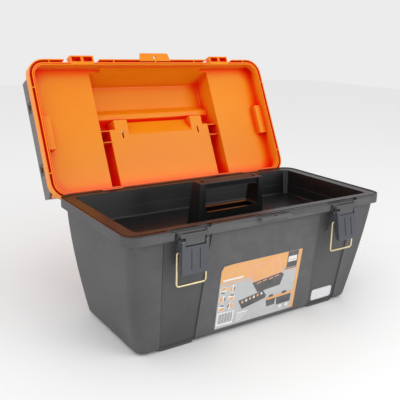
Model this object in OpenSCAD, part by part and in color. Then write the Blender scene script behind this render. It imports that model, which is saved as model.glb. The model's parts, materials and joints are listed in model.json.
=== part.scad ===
// Plastic toolbox with a lift-out tray, two front latches and a hinged lid
// that carries two small-parts organisers and a folding carry handle.
// Origin: centre of the standing pad on the floor. +X right, -Y front, +Z up.
// Lid pieces are drawn closed, then turned back about the rear hinge.

/* [Tub] */
// Overall length of the rim
rim_length = 500; // [480:1:520]
// Overall depth of the rim, front to back
rim_depth = 246; // [240:1:252]
// Height from the floor to the top of the rim
tub_height = 200; // [180:1:220]
// Length of the tub where it meets the floor
base_length = 431; // [410:1:440]
// Depth of the tub where it meets the floor
base_depth = 183; // [170:1:195]
// Thickness of the moulded walls
wall = 2.5; // [2:0.1:3]
// Height of the rim's outer skirt
skirt_height = 15; // [12:1:18]
// Height of the standing pads under the floor
foot_height = 3; // [2:0.5:5]

/* [Tray] */
// Depth of the tray from the rim to its floor
tray_depth = 45; // [38:1:55]
// Width of the tray's lifting handle
tray_handle_width = 128; // [110:1:140]
// Height of the tray's handle above the rim
tray_handle_rise = 28.5; // [20:0.5:34]

/* [Latches] */
// Distance of each latch from the middle
latch_x = 149.5; // [140:0.5:155]
// Width of a latch lever
lever_width = 45; // [44:0.5:46]
// Diameter of the latch wire
wire_d = 3; // [2.5:0.1:3.4]
// Outward tilt of the left lever, which hangs almost shut
left_tilt = 2; // [0:1:20]
// Outward tilt of the right lever, which stands a little open
right_tilt = 12; // [0:1:20]

/* [Lid] */
// Angle that the lid is folded back from closed
lid_angle = 116; // [0:1:116]
// Height of the raised middle of the lid above its edge
hump_height = 74.5; // [70:0.5:80]
// Height of the organisers' covers above the lid's edge
cover_height = 46.5; // [44:0.5:50]
// Angle that the carry handle hangs out of its recess
handle_angle = 26; // [0:1:90]

/* [Hidden] */
$fn = 48;
corner_fn = 32;
thin = 0.01;
fit = 0.05;

// Colours
black_pp = "#303033";
label_grey = "#c9cacb";
plate_white = "#e6e7e8";
steel = "#b9bbbe";
lever_grey = "#4a4e57";
wire_gold = "#dcc27a";
orange_pp = "#e8871e";
smoke = "#8f827a";
clip_brown = "#4a3f3c";

// Tub
rim_x = rim_length / 2;
rim_y = rim_depth / 2;
rim_r = 22;
lip = 2.5;
channel_depth = 5;
ledge_drop = 3.5;
wall_top = tub_height - skirt_height;
top_half_x = rim_x - 9;
top_half_y = rim_y - 7.5;
base_half_x = base_length / 2;
base_half_y = base_depth / 2;
wall_r = 15;
side_bulge = 1.6;
tub_levels = 5;
seat_x = rim_x - 4;
seat_y = rim_y - 7.8;
front_draft = atan((top_half_y - base_half_y) / (wall_top - foot_height));
front_rise = (wall_top - foot_height) / cos(front_draft);
panel_depth = 2.2;
panel_top_in = 108;
panel_top_out = 190;
panel_base_in = 118;
panel_base_out = 181;
pad_half_x = 196;
pad_half_y = 72;

// Latches
pivot_y = -(rim_y + 5);
pivot_z = tub_height - 18;
pin_r = 1.5;
hood_front = -(rim_y + 11);
hood_top = tub_height - 4.5;
hood_half = 22.6;
tab_half = 16;
tab_bottom = tub_height - 21.4;
lever_half = lever_width / 2;
lever_front = -(rim_y + 12.2);
lever_bottom = tub_height - 64;
lever_back = lever_front + 9;
lug_r = 4.7;
ear_sweep = 7.4;
bail_y = -(rim_y + 2);
bail_z = tub_height - 33;
wire_r = wire_d / 2;
bail_half = lever_half + 2.2;
bail_reach = 50;
bend_r = 4.5;
eye_r = 1.9;
rib_half = 18.5;
slot_half = 34;
bail_slot_in = hood_half + 0.2;
bail_slot_out = 27;

// Rear hinge
hinge_y = rim_y + 2.5;
hinge_z = tub_height - 9.2;
hinge_x = 150;
hinge_pin_r = 2;
knuckle_r = 4.5;
lid_knuckle = 19;
tub_knuckle = 30;

// Tray
tray_x = seat_x - 0.6;
tray_y = seat_y - 0.6;
tray_top = tub_height - 0.9;
tray_open_x = 228;
tray_open_y = 104.5;
tray_floor_x = 222;
tray_floor_y = 94;
tray_wall = 2;
step_drop = 27;
tower_top = tub_height + tray_handle_rise;
tower_x = tray_handle_width / 2;
tower_front = -17.5;
tower_back = 9;
tower_flare = 4;

// Lid, drawn closed with its edge at lid_z
lid_z = tub_height + 0.3;
lid_half_x = 251.5;
lid_half_y = rim_y + 0.5;
lid_r = 30;
edge_height = 15;
slab_z = 26;
slab_x = 241;
slab_y = 115.4;
hump_half = 133;
organiser_front = -93.5;
organiser_rear = 110.5;
organiser_out = 246;
recess_half = 107;
recess_floor = 36;
ear_in = 72.5;
ear_out = 95;
pad_rise = 56;
groove_mid = -30;
catch_half = 22.4;
catch_front = -130.2;
catch_rear = -113.2;
catch_height = 14.9;
catch_cut = 1.2;
finger_in = 227;
finger_mid = 4;
finger_half = 27.5;
recess_front = 2.5;
ear_front = -15.5;
cover_pin_r = 1.5;
knuckle_fit_r = 3;
handle_pivot_y = 10.5;
handle_pivot_z = lid_z + 44.3;
trunnion_r = 3;
handle_reach = 86;
cover_pivot_x = 139;
cover_in = 135.5;
sweep_out = 139.2;
sweep_low = 39.5;
cover_pivot_z = lid_z + 43.5;
clip_y = 55.5;
clip_mid = (organiser_front + organiser_rear) / 2;
compartment_pitch = 33;
hinge_span = 88;
clip_pin_r = 0.7;

// ---------- shared shapes ----------

// Flat rectangle with true round corners, centred
module rounded_rect(half_x, half_y, r) {
  square([2 * (half_x - r), 2 * half_y], center = true);
  square([2 * half_x, 2 * (half_y - r)], center = true);
  for (x = [-1, 1], y = [-1, 1])
    translate([x * (half_x - r), y * (half_y - r)]) circle(r, $fn = corner_fn);
}

// Rounded plate from z0 to z1
module rounded_plate(half_x, half_y, r, z0, z1) {
  translate([0, 0, z0]) linear_extrude(z1 - z0) rounded_rect(half_x, half_y, r);
}

// Box from its lowest to its highest corner
module box(low, high) {
  translate(low) cube(high - low);
}

// Rod along X, centred on x
module rod_x(x, y, z, r, length) {
  translate([x, y, z]) rotate([0, 90, 0]) cylinder(r = r, h = length, center = true);
}

// Solid from an outline in (y, z), from x0 to x1
module slice_x(x0, x1, outline) {
  translate([x0, 0, 0]) rotate([90, 0, 90]) linear_extrude(x1 - x0) polygon(outline);
}

// Solid from an outline in (x, z), from y0 to y1
module slice_y(y0, y1, outline) {
  translate([0, y1, 0]) rotate([90, 0, 0]) linear_extrude(y1 - y0) polygon(outline);
}

// Children on the sloping front wall: X across, Y up the wall, Z outwards
module on_front_wall() {
  translate([0, -base_half_y, foot_height]) rotate([90 + front_draft, 0, 0]) children();
}

// Children turned about an axis along X through (y, z)
module turned(angle, y, z) {
  translate([0, y, z]) rotate([angle, 0, 0]) translate([0, -y, -z]) children();
}

// Children folded back with the lid
module on_lid() {
  turned(-lid_angle, hinge_y, hinge_z) children();
}

// ---------- tub ----------

function side_half_x(t) = base_half_x + (top_half_x - base_half_x) * (1 - pow(1 - t, side_bulge));
function side_half_y(t) = base_half_y + (top_half_y - base_half_y) * t;

// Tapered body whose ends bulge, shrunk by inset on every side
module tapered_body(inset, z0) {
  hull()
    for (i = [0:tub_levels]) {
      t = i / tub_levels;
      translate([0, 0, max(z0, foot_height + (wall_top - foot_height) * t)])
        linear_extrude(t == 1 ? 2 : thin)
          rounded_rect(side_half_x(t) - inset, side_half_y(t) - inset, wall_r - inset);
    }
}

// Shape of one sunken panel behind a latch, in front wall coordinates
module panel_outline(side, grow) {
  polygon([
    [side * (panel_base_in - grow), 2], [side * (panel_base_out + grow), 2],
    [side * (panel_top_out + grow), front_rise + 1], [side * (panel_top_in - grow), front_rise + 1]
  ]);
}

module rim() {
  difference() {
    rounded_plate(rim_x, rim_y, rim_r, wall_top, tub_height);
    // hollow under the flange
    difference() {
      rounded_plate(rim_x - lip, rim_y - lip, rim_r - lip, wall_top - 1, tub_height - 7.5);
      rounded_plate(top_half_x, top_half_y, wall_r, wall_top - 2, tub_height - 7);
    }
    // channel between the outer and the inner lip
    difference() {
      rounded_plate(rim_x - 1.6, rim_y - 2.3, rim_r - 2, tub_height - channel_depth, tub_height + 1);
      rounded_plate(rim_x - 3, rim_y - 5.5, rim_r - 4, tub_height - channel_depth - 1, tub_height + 2);
    }
    // opening and the seat of the tray
    rounded_plate(top_half_x - wall, top_half_y - wall, wall_r - wall, wall_top - 1, tub_height + 1);
    rounded_plate(seat_x, seat_y, rim_r - 5, tub_height - ledge_drop, tub_height + 1);
  }
}

// Hood over one latch, with the tab that its lever hangs behind
module latch_hood(x) {
  cheek_bottom = pivot_z + ear_sweep + 0.4;
  translate([x, 0, 0]) {
    box([-hood_half, hood_front, cheek_bottom], [hood_half, hood_front + wall, hood_top]);
    box([-tab_half, hood_front, tab_bottom], [tab_half, hood_front + wall, hood_top]);
    for (s = [-1, 1])
      box([s * (hood_half - 1) - 1, hood_front, cheek_bottom], [s * (hood_half - 1) + 1, -rim_y + 1, hood_top]);
    // inner shelf behind the slot
    box([-hood_half, -rim_y - 3, hood_top - 3], [hood_half, -rim_y + 1, hood_top]);
    // ribs that carry the lever's pin
    for (s = [-1, 1])
      translate([s * (rib_half - 1), 0, 0])
        slice_x(-1, 1, [
          [pivot_y, pivot_z + 4.2], [-rim_y + 2, pivot_z + 8], [-top_half_y + 1.5, wall_top],
          [-top_half_y + 6, tub_height - 58], [pivot_y, pivot_z - 4.2]
        ]);
    for (s = [-1, 1]) rod_x(s * (rib_half - 1), pivot_y, pivot_z, 4.2, 2);
  }
}

// Openings that the latch parts pass through
module latch_openings(x) {
  translate([x, 0, 0]) {
    box([-slot_half, -rim_y - 1, hood_top], [slot_half, -rim_y + 5.5, tub_height + 1]);
    for (s = [-1, 1])
      translate([s * (bail_slot_in + bail_slot_out) / 2, 0, 0])
        box([(bail_slot_in - bail_slot_out) / 2, -rim_y - 1, wall_top - 1],
            [(bail_slot_out - bail_slot_in) / 2, -rim_y + 4.2, tub_height + 1]);
    rod_x(0, pivot_y, pivot_z, pin_r + 0.02, 60);
  }
}

module tub() {
  color(black_pp) difference() {
    union() {
      difference() {
        tapered_body(0, foot_height);
        for (s = [-1, 1])
          on_front_wall() translate([0, 0, -panel_depth]) linear_extrude(9) panel_outline(s, 0);
        // inside, which steps in behind the sunken panels
        difference() {
          tapered_body(wall, foot_height + wall);
          for (s = [-1, 1])
            on_front_wall() translate([0, 0, -panel_depth - wall]) linear_extrude(9)
              panel_outline(s, wall);
        }
        box([-rim_x, -rim_y, wall_top + 1], [rim_x, rim_y, wall_top + 3]);
      }
      rim();
      rounded_plate(pad_half_x, pad_half_y, 12, 0, foot_height + 1);
      // feet under the latch panels, front and back
      for (s = [-1, 1], y = [-1, 1])
        translate([s * 149.5, y * 78, 0]) rounded_plate(30, 11.5, 4, 0, foot_height + 1);
      for (s = [-1, 1]) latch_hood(s * latch_x);
      // padlock tab under the middle of the front rim
      box([-30, -rim_y - 9, tub_height - 8], [30, -rim_y + 1, tub_height - 3.5]);
      // rear hinge knuckles
      for (s = [-1, 1], k = [-1, 1])
        rod_x(s * hinge_x + k * (lid_knuckle + tub_knuckle + 1) / 2, hinge_y, hinge_z, knuckle_r,
              tub_knuckle - lid_knuckle - 1);
      // stiffening ribs under the end flanges
      for (s = [-1, 1], y = [-60, 0, 60])
        box([s * (rim_x - 6) - 4, y - 1, wall_top], [s * (rim_x - 6) + 4, y + 1, tub_height - 7]);
    }
    for (s = [-1, 1]) latch_openings(s * latch_x);
    translate([0, -rim_y - 4.5, tub_height - 20]) cylinder(r = 3, h = 30);
    for (s = [-1, 1]) {
      rod_x(s * hinge_x, hinge_y, hinge_z, hinge_pin_r + 0.02, 80);
      box([s * hinge_x - lid_knuckle - 1, rim_y - 4.5, wall_top - 1],
          [s * hinge_x + lid_knuckle + 1, rim_y + 9, tub_height + 1]);
    }
  }
}

// Paper label on the front wall
module front_label() {
  label_x = 82;
  color(label_grey) on_front_wall()
    translate([-label_x, 9, 0.02]) cube([2 * label_x, 112, 0.3]);
}

// Plain oval plate at the lower right of the front
module badge_plate() {
  color(plate_white) on_front_wall()
    translate([150, 19, -panel_depth + 0.02]) linear_extrude(1) rounded_rect(24, 10.5, 4);
}

module latch_pin(x) {
  color(steel) rod_x(x, pivot_y, pivot_z, pin_r, lever_width - 0.6);
}
module latch_pin_left() { latch_pin(-latch_x); }
module latch_pin_right() { latch_pin(latch_x); }

module lid_hinge_pin(x) {
  color(steel) rod_x(x, hinge_y, hinge_z, hinge_pin_r, 2 * tub_knuckle);
}
module lid_hinge_pin_left() { lid_hinge_pin(-hinge_x); }
module lid_hinge_pin_right() { lid_hinge_pin(hinge_x); }

// ---------- latch levers and bails ----------

// Children turned outwards by tilt about the lever's pin
module on_lever(tilt) {
  turned(-tilt, pivot_y, pivot_z) children();
}

module latch_lever(x, tilt) {
  color(lever_grey) on_lever(tilt) translate([x, 0, 0]) difference() {
    union() {
      // face plate, bevelled under the hood's tab
      slice_x(-lever_half, lever_half, [
        [lever_front, lever_bottom], [lever_front + 2.5, lever_bottom],
        [lever_front + 2.5, tab_bottom - 3.6], [lever_front, tab_bottom - 0.7]
      ]);
      for (s = [-1, 1]) {
        // ears beside the tab
        translate([s * (lever_half + tab_half + 0.8) / 2, 0, 0])
          slice_x(-(lever_half - tab_half - 0.8) / 2, (lever_half - tab_half - 0.8) / 2, [
            [lever_front, tab_bottom - 2], [lever_front + 2.2, tab_bottom - 2],
            [lever_front + 2.2, pivot_z + 3], [lever_front + 0.6, pivot_z + 3],
            [lever_front, pivot_z + 1]
          ]);
        // side flanges
        translate([s * (lever_half - 1), 0, 0]) {
          slice_x(-1, 1, [
            [lever_front, lever_bottom], [lever_back - 2, lever_bottom + 2], [lever_back, bail_z - 12],
            [bail_y + 4, bail_z - 2], [bail_y + 4, bail_z + 4], [pivot_y + lug_r, pivot_z - 3],
            [pivot_y, pivot_z], [lever_front, pivot_z]
          ]);
          rod_x(0, pivot_y, pivot_z, lug_r, 2);
          rod_x(0, bail_y, bail_z, 4, 2);
        }
      }
      // two shallow grips down the face
      for (s = [-1, 1])
        translate([s * 7, 0, 0])
          slice_x(-0.8, 0.8, [
            [lever_front - 0.5, lever_bottom + 8], [lever_front + 1, lever_bottom + 6],
            [lever_front + 1, tab_bottom - 5], [lever_front - 0.5, tab_bottom - 7]
          ]);
    }
    rod_x(0, pivot_y, pivot_z, pin_r + fit, 60);
    rod_x(0, bail_y, bail_z, wire_r + fit, 60);
  }
}
module latch_lever_left() { latch_lever(-latch_x, left_tilt); }
module latch_lever_right() { latch_lever(latch_x, right_tilt); }

// Quarter bend of wire in the X-Z plane, from +X towards +Z
module wire_bend(r) {
  rotate([90, 0, 0]) rotate_extrude(angle = 90) translate([r, 0]) circle(wire_r, $fn = 24);
}

// Wire loop that hangs from the lever and hooks over the lid's catch
module latch_bail(x, tilt) {
  leg_top = bail_z - eye_r;
  leg_base = bail_z - bail_reach + bend_r;
  pivot_at = [x, pivot_y + (bail_y - pivot_y) * cos(tilt) + (bail_z - pivot_z) * sin(tilt),
              pivot_z - (bail_y - pivot_y) * sin(tilt) + (bail_z - pivot_z) * cos(tilt)];
  color(wire_gold) translate(pivot_at - [0, bail_y, bail_z]) translate([0, bail_y, 0]) {
    for (s = [-1, 1]) mirror([s < 0 ? 1 : 0, 0, 0]) {
      translate([bail_half, 0, leg_base]) cylinder(r = wire_r, h = leg_top - leg_base, $fn = 24);
      translate([bail_half - eye_r, 0, leg_top]) wire_bend(eye_r);
      translate([bail_half - bend_r, 0, leg_base]) mirror([0, 0, 1]) wire_bend(bend_r);
      translate([lever_half - 4.2, 0, bail_z]) rotate([0, 90, 0])
        cylinder(r = wire_r, h = bail_half - eye_r - lever_half + 4.2, $fn = 24);
    }
    translate([0, 0, bail_z - bail_reach]) rotate([0, 90, 0])
      cylinder(r = wire_r, h = 2 * (bail_half - bend_r), center = true, $fn = 24);
  }
}
module latch_bail_left() { latch_bail(-latch_x, left_tilt); }
module latch_bail_right() { latch_bail(latch_x, right_tilt); }

// ---------- tray ----------

// Tapered tray body from the rim down, shrunk by inset
module tray_body(inset, z0, z1) {
  function at(z, low, high) = high + (low - high) * (tray_top - z) / tray_depth;
  hull()
    for (z = [z0, z1])
      translate([0, 0, z]) linear_extrude(thin)
        rounded_rect(at(z, tray_floor_x, tray_open_x) - inset, at(z, tray_floor_y, tray_open_y) - inset,
                     max(9 - inset, 2));
}

// Outline of the handle tower in (y, z), shrunk by inset
function tower_outline(inset, z0, z1) = [
  [tower_front - tower_flare + inset, z0], [tower_back + 2 * tower_flare - inset, z0],
  [tower_back - inset, z1], [tower_front + inset, z1]
];

module tray() {
  floor_z = tray_top - tray_depth;
  window_base = tub_height - 19.5;
  color(black_pp) difference() {
    union() {
      // flange that rests on the tub's ledge
      difference() {
        rounded_plate(tray_x, tray_y, rim_r - 5.6, tray_top - 2.4, tray_top);
        tray_body(0, tray_top - 5, tray_top + 0.2);
      }
      difference() {
        tray_body(-tray_wall, floor_z - tray_wall, tray_top - 0.5);
        tray_body(0, tray_top - step_drop, tray_top + 0.2);
        tray_body(1.2, floor_z, tray_top - step_drop + 1);
      }
      // hollow handle tower, moulded in one with the floor
      slice_x(-tower_x, tower_x, tower_outline(0, floor_z - 1, tower_top));
    }
    // hollow of the tower, open below and closed at the grip
    slice_x(-tower_x + 2.2, tower_x - 2.2, tower_outline(2.2, floor_z - 3, window_base));
    // window under the grip
    slice_y(-40, 40, [
      [-50, window_base], [50, window_base], [54.5, window_base + 5], [54.5, tower_top - 10.5],
      [-54.5, tower_top - 10.5], [-54.5, window_base + 5]
    ]);
    // sunken front and back of the grip, so that the posts stand proud of it
    for (s = [-1, 1])
      translate([0, s > 0 ? tower_back + 2 : tower_front - 2, tower_top - 6])
        box([-54.5, -5, -8], [54.5, 5, 8]);
    // notches between the grip and its posts
    for (s = [-1, 1])
      translate([s * 52, 0, 0]) box([-2.5, -9, tower_top - 2.5], [2.5, 2, tower_top + 1]);
  }
}

// ---------- lid ----------

// Side view of the raised middle, with its cutting groove, shrunk by inset
function hump_outline(inset) = [
  [-115 + inset, 10], [-98.5 + inset, hump_height - inset],
  [-47 - inset / 2, hump_height - inset], [groove_mid - 5, pad_rise + 1 - inset],
  [groove_mid + 5, pad_rise + 1 - inset], [-17 + inset / 2, hump_height - inset],
  [104 - inset, hump_height - inset], [114 - inset, 10]
];

// Whole lid without its openings, shrunk by inset
module lid_form(inset) {
  difference() {
    union() {
      rounded_plate(lid_half_x - inset, lid_half_y - inset, lid_r - inset, 0, edge_height - inset);
      for (s = [-1, 1]) {
        translate([s * (organiser_out + recess_half) / 2, (organiser_front + organiser_rear) / 2, 0])
          box([-(organiser_out - recess_half) / 2 + inset, -slab_y + inset, 0],
              [(organiser_out - recess_half) / 2 - inset, slab_y - inset, slab_z + wall - inset]);
      }
      slice_x(-hump_half + inset, hump_half - inset, hump_outline(inset));
    }
    // handle recess, open to the rear, with an ear each side of the raised pad
    box([-recess_half - inset, recess_front - inset, recess_floor - inset], [recess_half + inset, 140, 90]);
    for (s = [-1, 1])
      translate([s * (ear_in + ear_out) / 2, 0, 0])
        box([-(ear_out - ear_in) / 2 - inset, ear_front - inset, recess_floor - inset],
            [(ear_out - ear_in) / 2 + inset, 3, 90]);
    box([-ear_in - inset, ear_front - inset, pad_rise - inset], [ear_in + inset, 3, 90]);
    // finger pocket under the end of each organiser
    for (s = [-1, 1])
      translate([s * (finger_in + 270) / 2, finger_mid, 0])
        box([-(270 - finger_in) / 2 - inset, -finger_half - inset, edge_height - 0.5 - inset],
            [(270 - finger_in) / 2 + inset, finger_half + inset, 90]);
  }
}

// Walls of one organiser's compartments, on the outside of the lid
module organiser_walls(s) {
  low = min(s * hump_half, s * organiser_out);
  high = max(s * hump_half, s * organiser_out);
  top = cover_height - 3;
  difference() {
    box([low, organiser_front, slab_z], [high, organiser_rear, top]);
    box([low + 2, organiser_front + 2, slab_z - 1], [high - 2, organiser_rear - 2, top + 1]);
    translate([s * (finger_in + 270) / 2, finger_mid, 0])
      box([-(270 - finger_in) / 2, -finger_half, 0], [(270 - finger_in) / 2, finger_half, 90]);
    // room for the cover's inner edge as it swings
    box([min(s * hump_half, s * sweep_out), organiser_front - 1, sweep_low],
        [max(s * hump_half, s * sweep_out), organiser_rear + 1, top + 1]);
  }
  translate([s * (finger_in - 1), finger_mid, 0])
    box([-1, -finger_half - 2, slab_z], [1, finger_half + 2, top]);
  for (y = [-1, 1])
    translate([s * (finger_in + organiser_out) / 2, finger_mid + y * (finger_half + 1), 0])
      box([-(organiser_out - finger_in) / 2, -1, edge_height - 1],
          [(organiser_out - finger_in) / 2, 1, top]);
  // sockets of the cover's hinge
  for (k = [-1, 1])
    translate([s * cover_pivot_x, clip_mid + k * hinge_span, 0]) {
      translate([0, 0, cover_pivot_z - lid_z]) rotate([90, 0, 0]) cylinder(r = knuckle_fit_r, h = 6, center = true);
      translate([s * -2.5, 0, top - 3.5]) cube([5, 6, 7], center = true);
    }
}

module lid_catch(x) {
  translate([x, 0, 0]) {
    slice_y(catch_front, catch_rear, [
      [-catch_half, 0], [catch_half, 0], [catch_half, catch_height - catch_cut],
      [catch_half - catch_cut, catch_height], [-catch_half + catch_cut, catch_height],
      [-catch_half, catch_height - catch_cut]
    ]);
    box([-catch_half, catch_front, 0], [catch_half, catch_front + 2, catch_height + 2.6]);
  }
}

module lid_shell() {
  inner_lip = -112.9;
  color(orange_pp) on_lid() translate([0, 0, lid_z]) difference() {
    union() {
      difference() {
        lid_form(0);
        // inside, with the thick edge that holds the sealing channel
        difference() {
          translate([0, 0, -thin]) lid_form(wall);
          difference() {
            rounded_plate(lid_half_x, lid_half_y, lid_r, -1, edge_height - 1);
            rounded_plate(slab_x, -inner_lip, 20, -2, edge_height);
          }
        }
      }
      for (s = [-1, 1]) organiser_walls(s);
      // cross ribs between the block and the organisers' inner walls
      for (s = [-1, 1], y = [2.5, 23.5])
        translate([s * 120, y, 0]) box([-14, -0.8, recess_floor - 3], [14, 0.8, hump_height - 1]);
      // lugs that carry the handle's trunnions
      for (s = [-1, 1], x = [ear_in - 2.2, ear_out + 3])
        translate([s * x, 0, 0]) {
          box([-2, handle_pivot_y - 7, recess_floor - 1], [2, handle_pivot_y + 7, 45]);
          rod_x(0, handle_pivot_y, handle_pivot_z - lid_z, 7, 4);
        }
      // knuckles and arms of the rear hinge
      for (s = [-1, 1]) {
        rod_x(s * hinge_x, hinge_y, hinge_z - lid_z, knuckle_r, 2 * lid_knuckle);
        translate([s * hinge_x, 0, 0])
          box([-lid_knuckle, hinge_y - 3, hinge_z - lid_z], [lid_knuckle, hinge_y + knuckle_r, 4]);
        translate([s * hinge_x, 0, 0])
          box([-lid_knuckle, lid_half_y - 3, 0.2], [lid_knuckle, hinge_y + knuckle_r, 9]);
      }
      // padlock tab at the middle of the front edge
      linear_extrude(3) polygon([[-34, -120], [34, -120], [30, -136], [-30, -136]]);
    }
    // sealing channel round the edge
    difference() {
      rounded_plate(lid_half_x - 2, lid_half_y - 2, lid_r - 2, -1, edge_height - 5);
      rounded_plate(lid_half_x - 6.5, -inner_lip + 4.6, lid_r - 7, -2, edge_height - 4);
      for (x = [-211, -88, 0, 88, 211], y = [-1, 1])
        translate([x, y * 120, 0]) box([-0.9, -6, -2], [0.9, 6, edge_height]);
      for (s = [-1, 1], y = [-73, 77])
        translate([s * 247, y, 0]) box([-6, -0.9, -2], [6, 0.9, edge_height]);
      for (s = [-1, 1]) translate([s * hinge_x, 118, 0]) box([-26, -2, -2], [26, 12, edge_height]);
      box([-34, -136, -2], [34, -120, 3]);
    }
    // room for the latch wires beside each catch
    for (s = [-1, 1])
      translate([s * latch_x, 0, 0])
        box([-slot_half, -140, -1], [slot_half, -118.4, 90]);
    // slots that form the handle's bearings
    for (s = [-1, 1])
      translate([s * (ear_in + ear_out) / 2, handle_pivot_y, 0]) box([-1.5, -7, 20], [1.5, 7, 40]);
    for (s = [-1, 1]) rod_x(s * 84, handle_pivot_y, handle_pivot_z - lid_z, trunnion_r + fit, 34);
    for (s = [-1, 1])
      translate([s * cover_pivot_x, 0, cover_pivot_z - lid_z]) rotate([90, 0, 0])
        cylinder(r = cover_pin_r + fit, h = 260, center = true);
    for (s = [-1, 1]) rod_x(s * hinge_x, hinge_y, hinge_z - lid_z, hinge_pin_r + fit, 60);
    translate([0, -rim_y - 4.5, -5]) cylinder(r = 3, h = 12);
  }
  // catches that the latch wires hook over
  color(orange_pp) on_lid() translate([0, 0, lid_z]) difference() {
    for (s = [-1, 1]) lid_catch(s * latch_x);
    for (s = [-1, 1], k = [-1, 1])
      translate([s * latch_x + k * 11, 0, 0]) box([-8.6, -127.8, -1], [8.6, -119, catch_height - 2.2]);
  }
}

// Grid insert that divides one organiser into compartments
module organiser_grid(s) {
  inner = hump_half + 2.3;
  outer = finger_in - 2.3;
  low_z = slab_z + wall + 0.05;
  high_z = cover_height - 4;
  color(orange_pp) on_lid() translate([0, 0, lid_z]) {
    translate([s * 182, 0, 0])
      box([-0.8, organiser_front + 2.3, low_z], [0.8, organiser_rear - 2.3, high_z]);
    for (k = [-1, 0, 1])
      translate([0, clip_mid + k * compartment_pitch, 0]) {
        box([min(s * inner, s * outer), -0.8, low_z], [max(s * inner, s * outer), 0.8, sweep_low]);
        box([min(s * sweep_out, s * outer), -0.8, low_z], [max(s * sweep_out, s * outer), 0.8, high_z]);
      }
  }
}
module organiser_grid_left() { organiser_grid(-1); }
module organiser_grid_right() { organiser_grid(1); }

// Carry handle, folded into its recess and then swung out by handle_angle
module carry_handle() {
  y = handle_pivot_y;
  z = handle_pivot_z;
  far = y + handle_reach;
  color(black_pp) on_lid() turned(handle_angle, y, z) {
    for (s = [-1, 1]) translate([s * (ear_in + ear_out) / 2, 0, 0]) {
      rod_x(0, y, z, 6.8, 20);
      rod_x(0, y, z, trunnion_r, 28);
      slice_x(-8.5, 8.5, [[y, z - 6.4], [far, z - 7], [far + 8, z + 1], [far, z + 9], [y, z + 6.4]]);
    }
    difference() {
      rod_x(0, far, z + 1, 11, 185);
      box([-100, far - 20, z - 20], [100, far + 20, z - 7]);
    }
  }
}

// Smoked cover of one organiser
module organiser_cover(s) {
  out = 249;
  top = cover_height;
  low = min(s * cover_in, s * out);
  high = max(s * cover_in, s * out);
  color(smoke, 0.5) on_lid() translate([0, 0, lid_z]) {
    difference() {
      union() {
        box([low, organiser_front - 2.6, top - 2.2], [high, organiser_rear + 2.6, top]);
        // rims that hang over the compartments' outer walls
        for (y = [organiser_front - 2.6, organiser_rear + 0.6])
          box([low, y, top - 9], [high, y + 2, top - 1]);
        translate([s * (out - 1), 0, 0])
          box([-1, organiser_front - 2.6, edge_height + 1], [1, organiser_rear + 2.6, top - 1]);
        // hinge knuckles
        for (k = [-1, 1])
          translate([s * cover_pivot_x, clip_mid + k * (hinge_span - 12), cover_pivot_z - lid_z])
            rotate([90, 0, 0]) cylinder(r = 2.8, h = 16, center = true);
      }
      // windows and bearings of the snap clips
      for (k = [-1, 1]) {
        translate([s * 248, clip_mid + k * clip_y, 0]) box([-4, -9.6, 22], [4, 9.6, 40.6]);
        translate([s * 248, clip_mid + k * clip_y, 24]) rotate([90, 0, 0])
          cylinder(r = clip_pin_r + fit, h = 22.4, center = true);
      }
      // gaps round the sockets of the hinge
      for (k = [-1, 1])
        translate([s * cover_pivot_x, clip_mid + k * hinge_span, top]) cube([8, 6.8, 9], center = true);
    }
    for (k = [-1, 1])
      translate([s * cover_pivot_x, clip_mid + k * hinge_span, cover_pivot_z - lid_z]) rotate([90, 0, 0])
        cylinder(r = cover_pin_r, h = 14, center = true);
    // small gussets along the foot of the end wall
    for (k = [-1, 0, 1])
      translate([0, clip_mid + k * compartment_pitch, 0])
        slice_y(-0.7, 0.7, [[s * 248.5, 17], [s * 248.5, 24], [s * 251, 17]]);
  }
}
module organiser_cover_left() { organiser_cover(-1); }
module organiser_cover_right() { organiser_cover(1); }

// Snap clip in the end wall of a cover
module cover_clip(s, k) {
  color(clip_brown) on_lid() translate([s * 248, clip_mid + k * clip_y, lid_z]) {
    difference() {
      box([-1, -8.8, 22.8], [1, 8.8, 39.8]);
      box([-3, -5, 27], [3, 5, 34]);
    }
    translate([0, 0, 24]) rotate([90, 0, 0]) cylinder(r = clip_pin_r, h = 22, center = true);
  }
}
module cover_clip_left_front() { cover_clip(-1, -1); }
module cover_clip_left_rear() { cover_clip(-1, 1); }
module cover_clip_right_front() { cover_clip(1, -1); }
module cover_clip_right_rear() { cover_clip(1, 1); }

tub();
front_label();
badge_plate();
latch_pin_left();
latch_pin_right();
lid_hinge_pin_left();
lid_hinge_pin_right();
tray();
latch_lever_left();
latch_lever_right();
latch_bail_left();
latch_bail_right();
lid_shell();
organiser_grid_left();
organiser_grid_right();
carry_handle();
organiser_cover_left();
organiser_cover_right();
cover_clip_left_front();
cover_clip_left_rear();
cover_clip_right_front();
cover_clip_right_rear();
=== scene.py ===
"""Toolbox with a lift-out tray: the visual model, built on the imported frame."""

from __future__ import annotations

import sys

import json
import logging
import math
from dataclasses import dataclass, field
from enum import Enum
from typing import Iterable, Sequence

import bmesh
import bpy
from mathutils import Matrix, Vector

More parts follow.
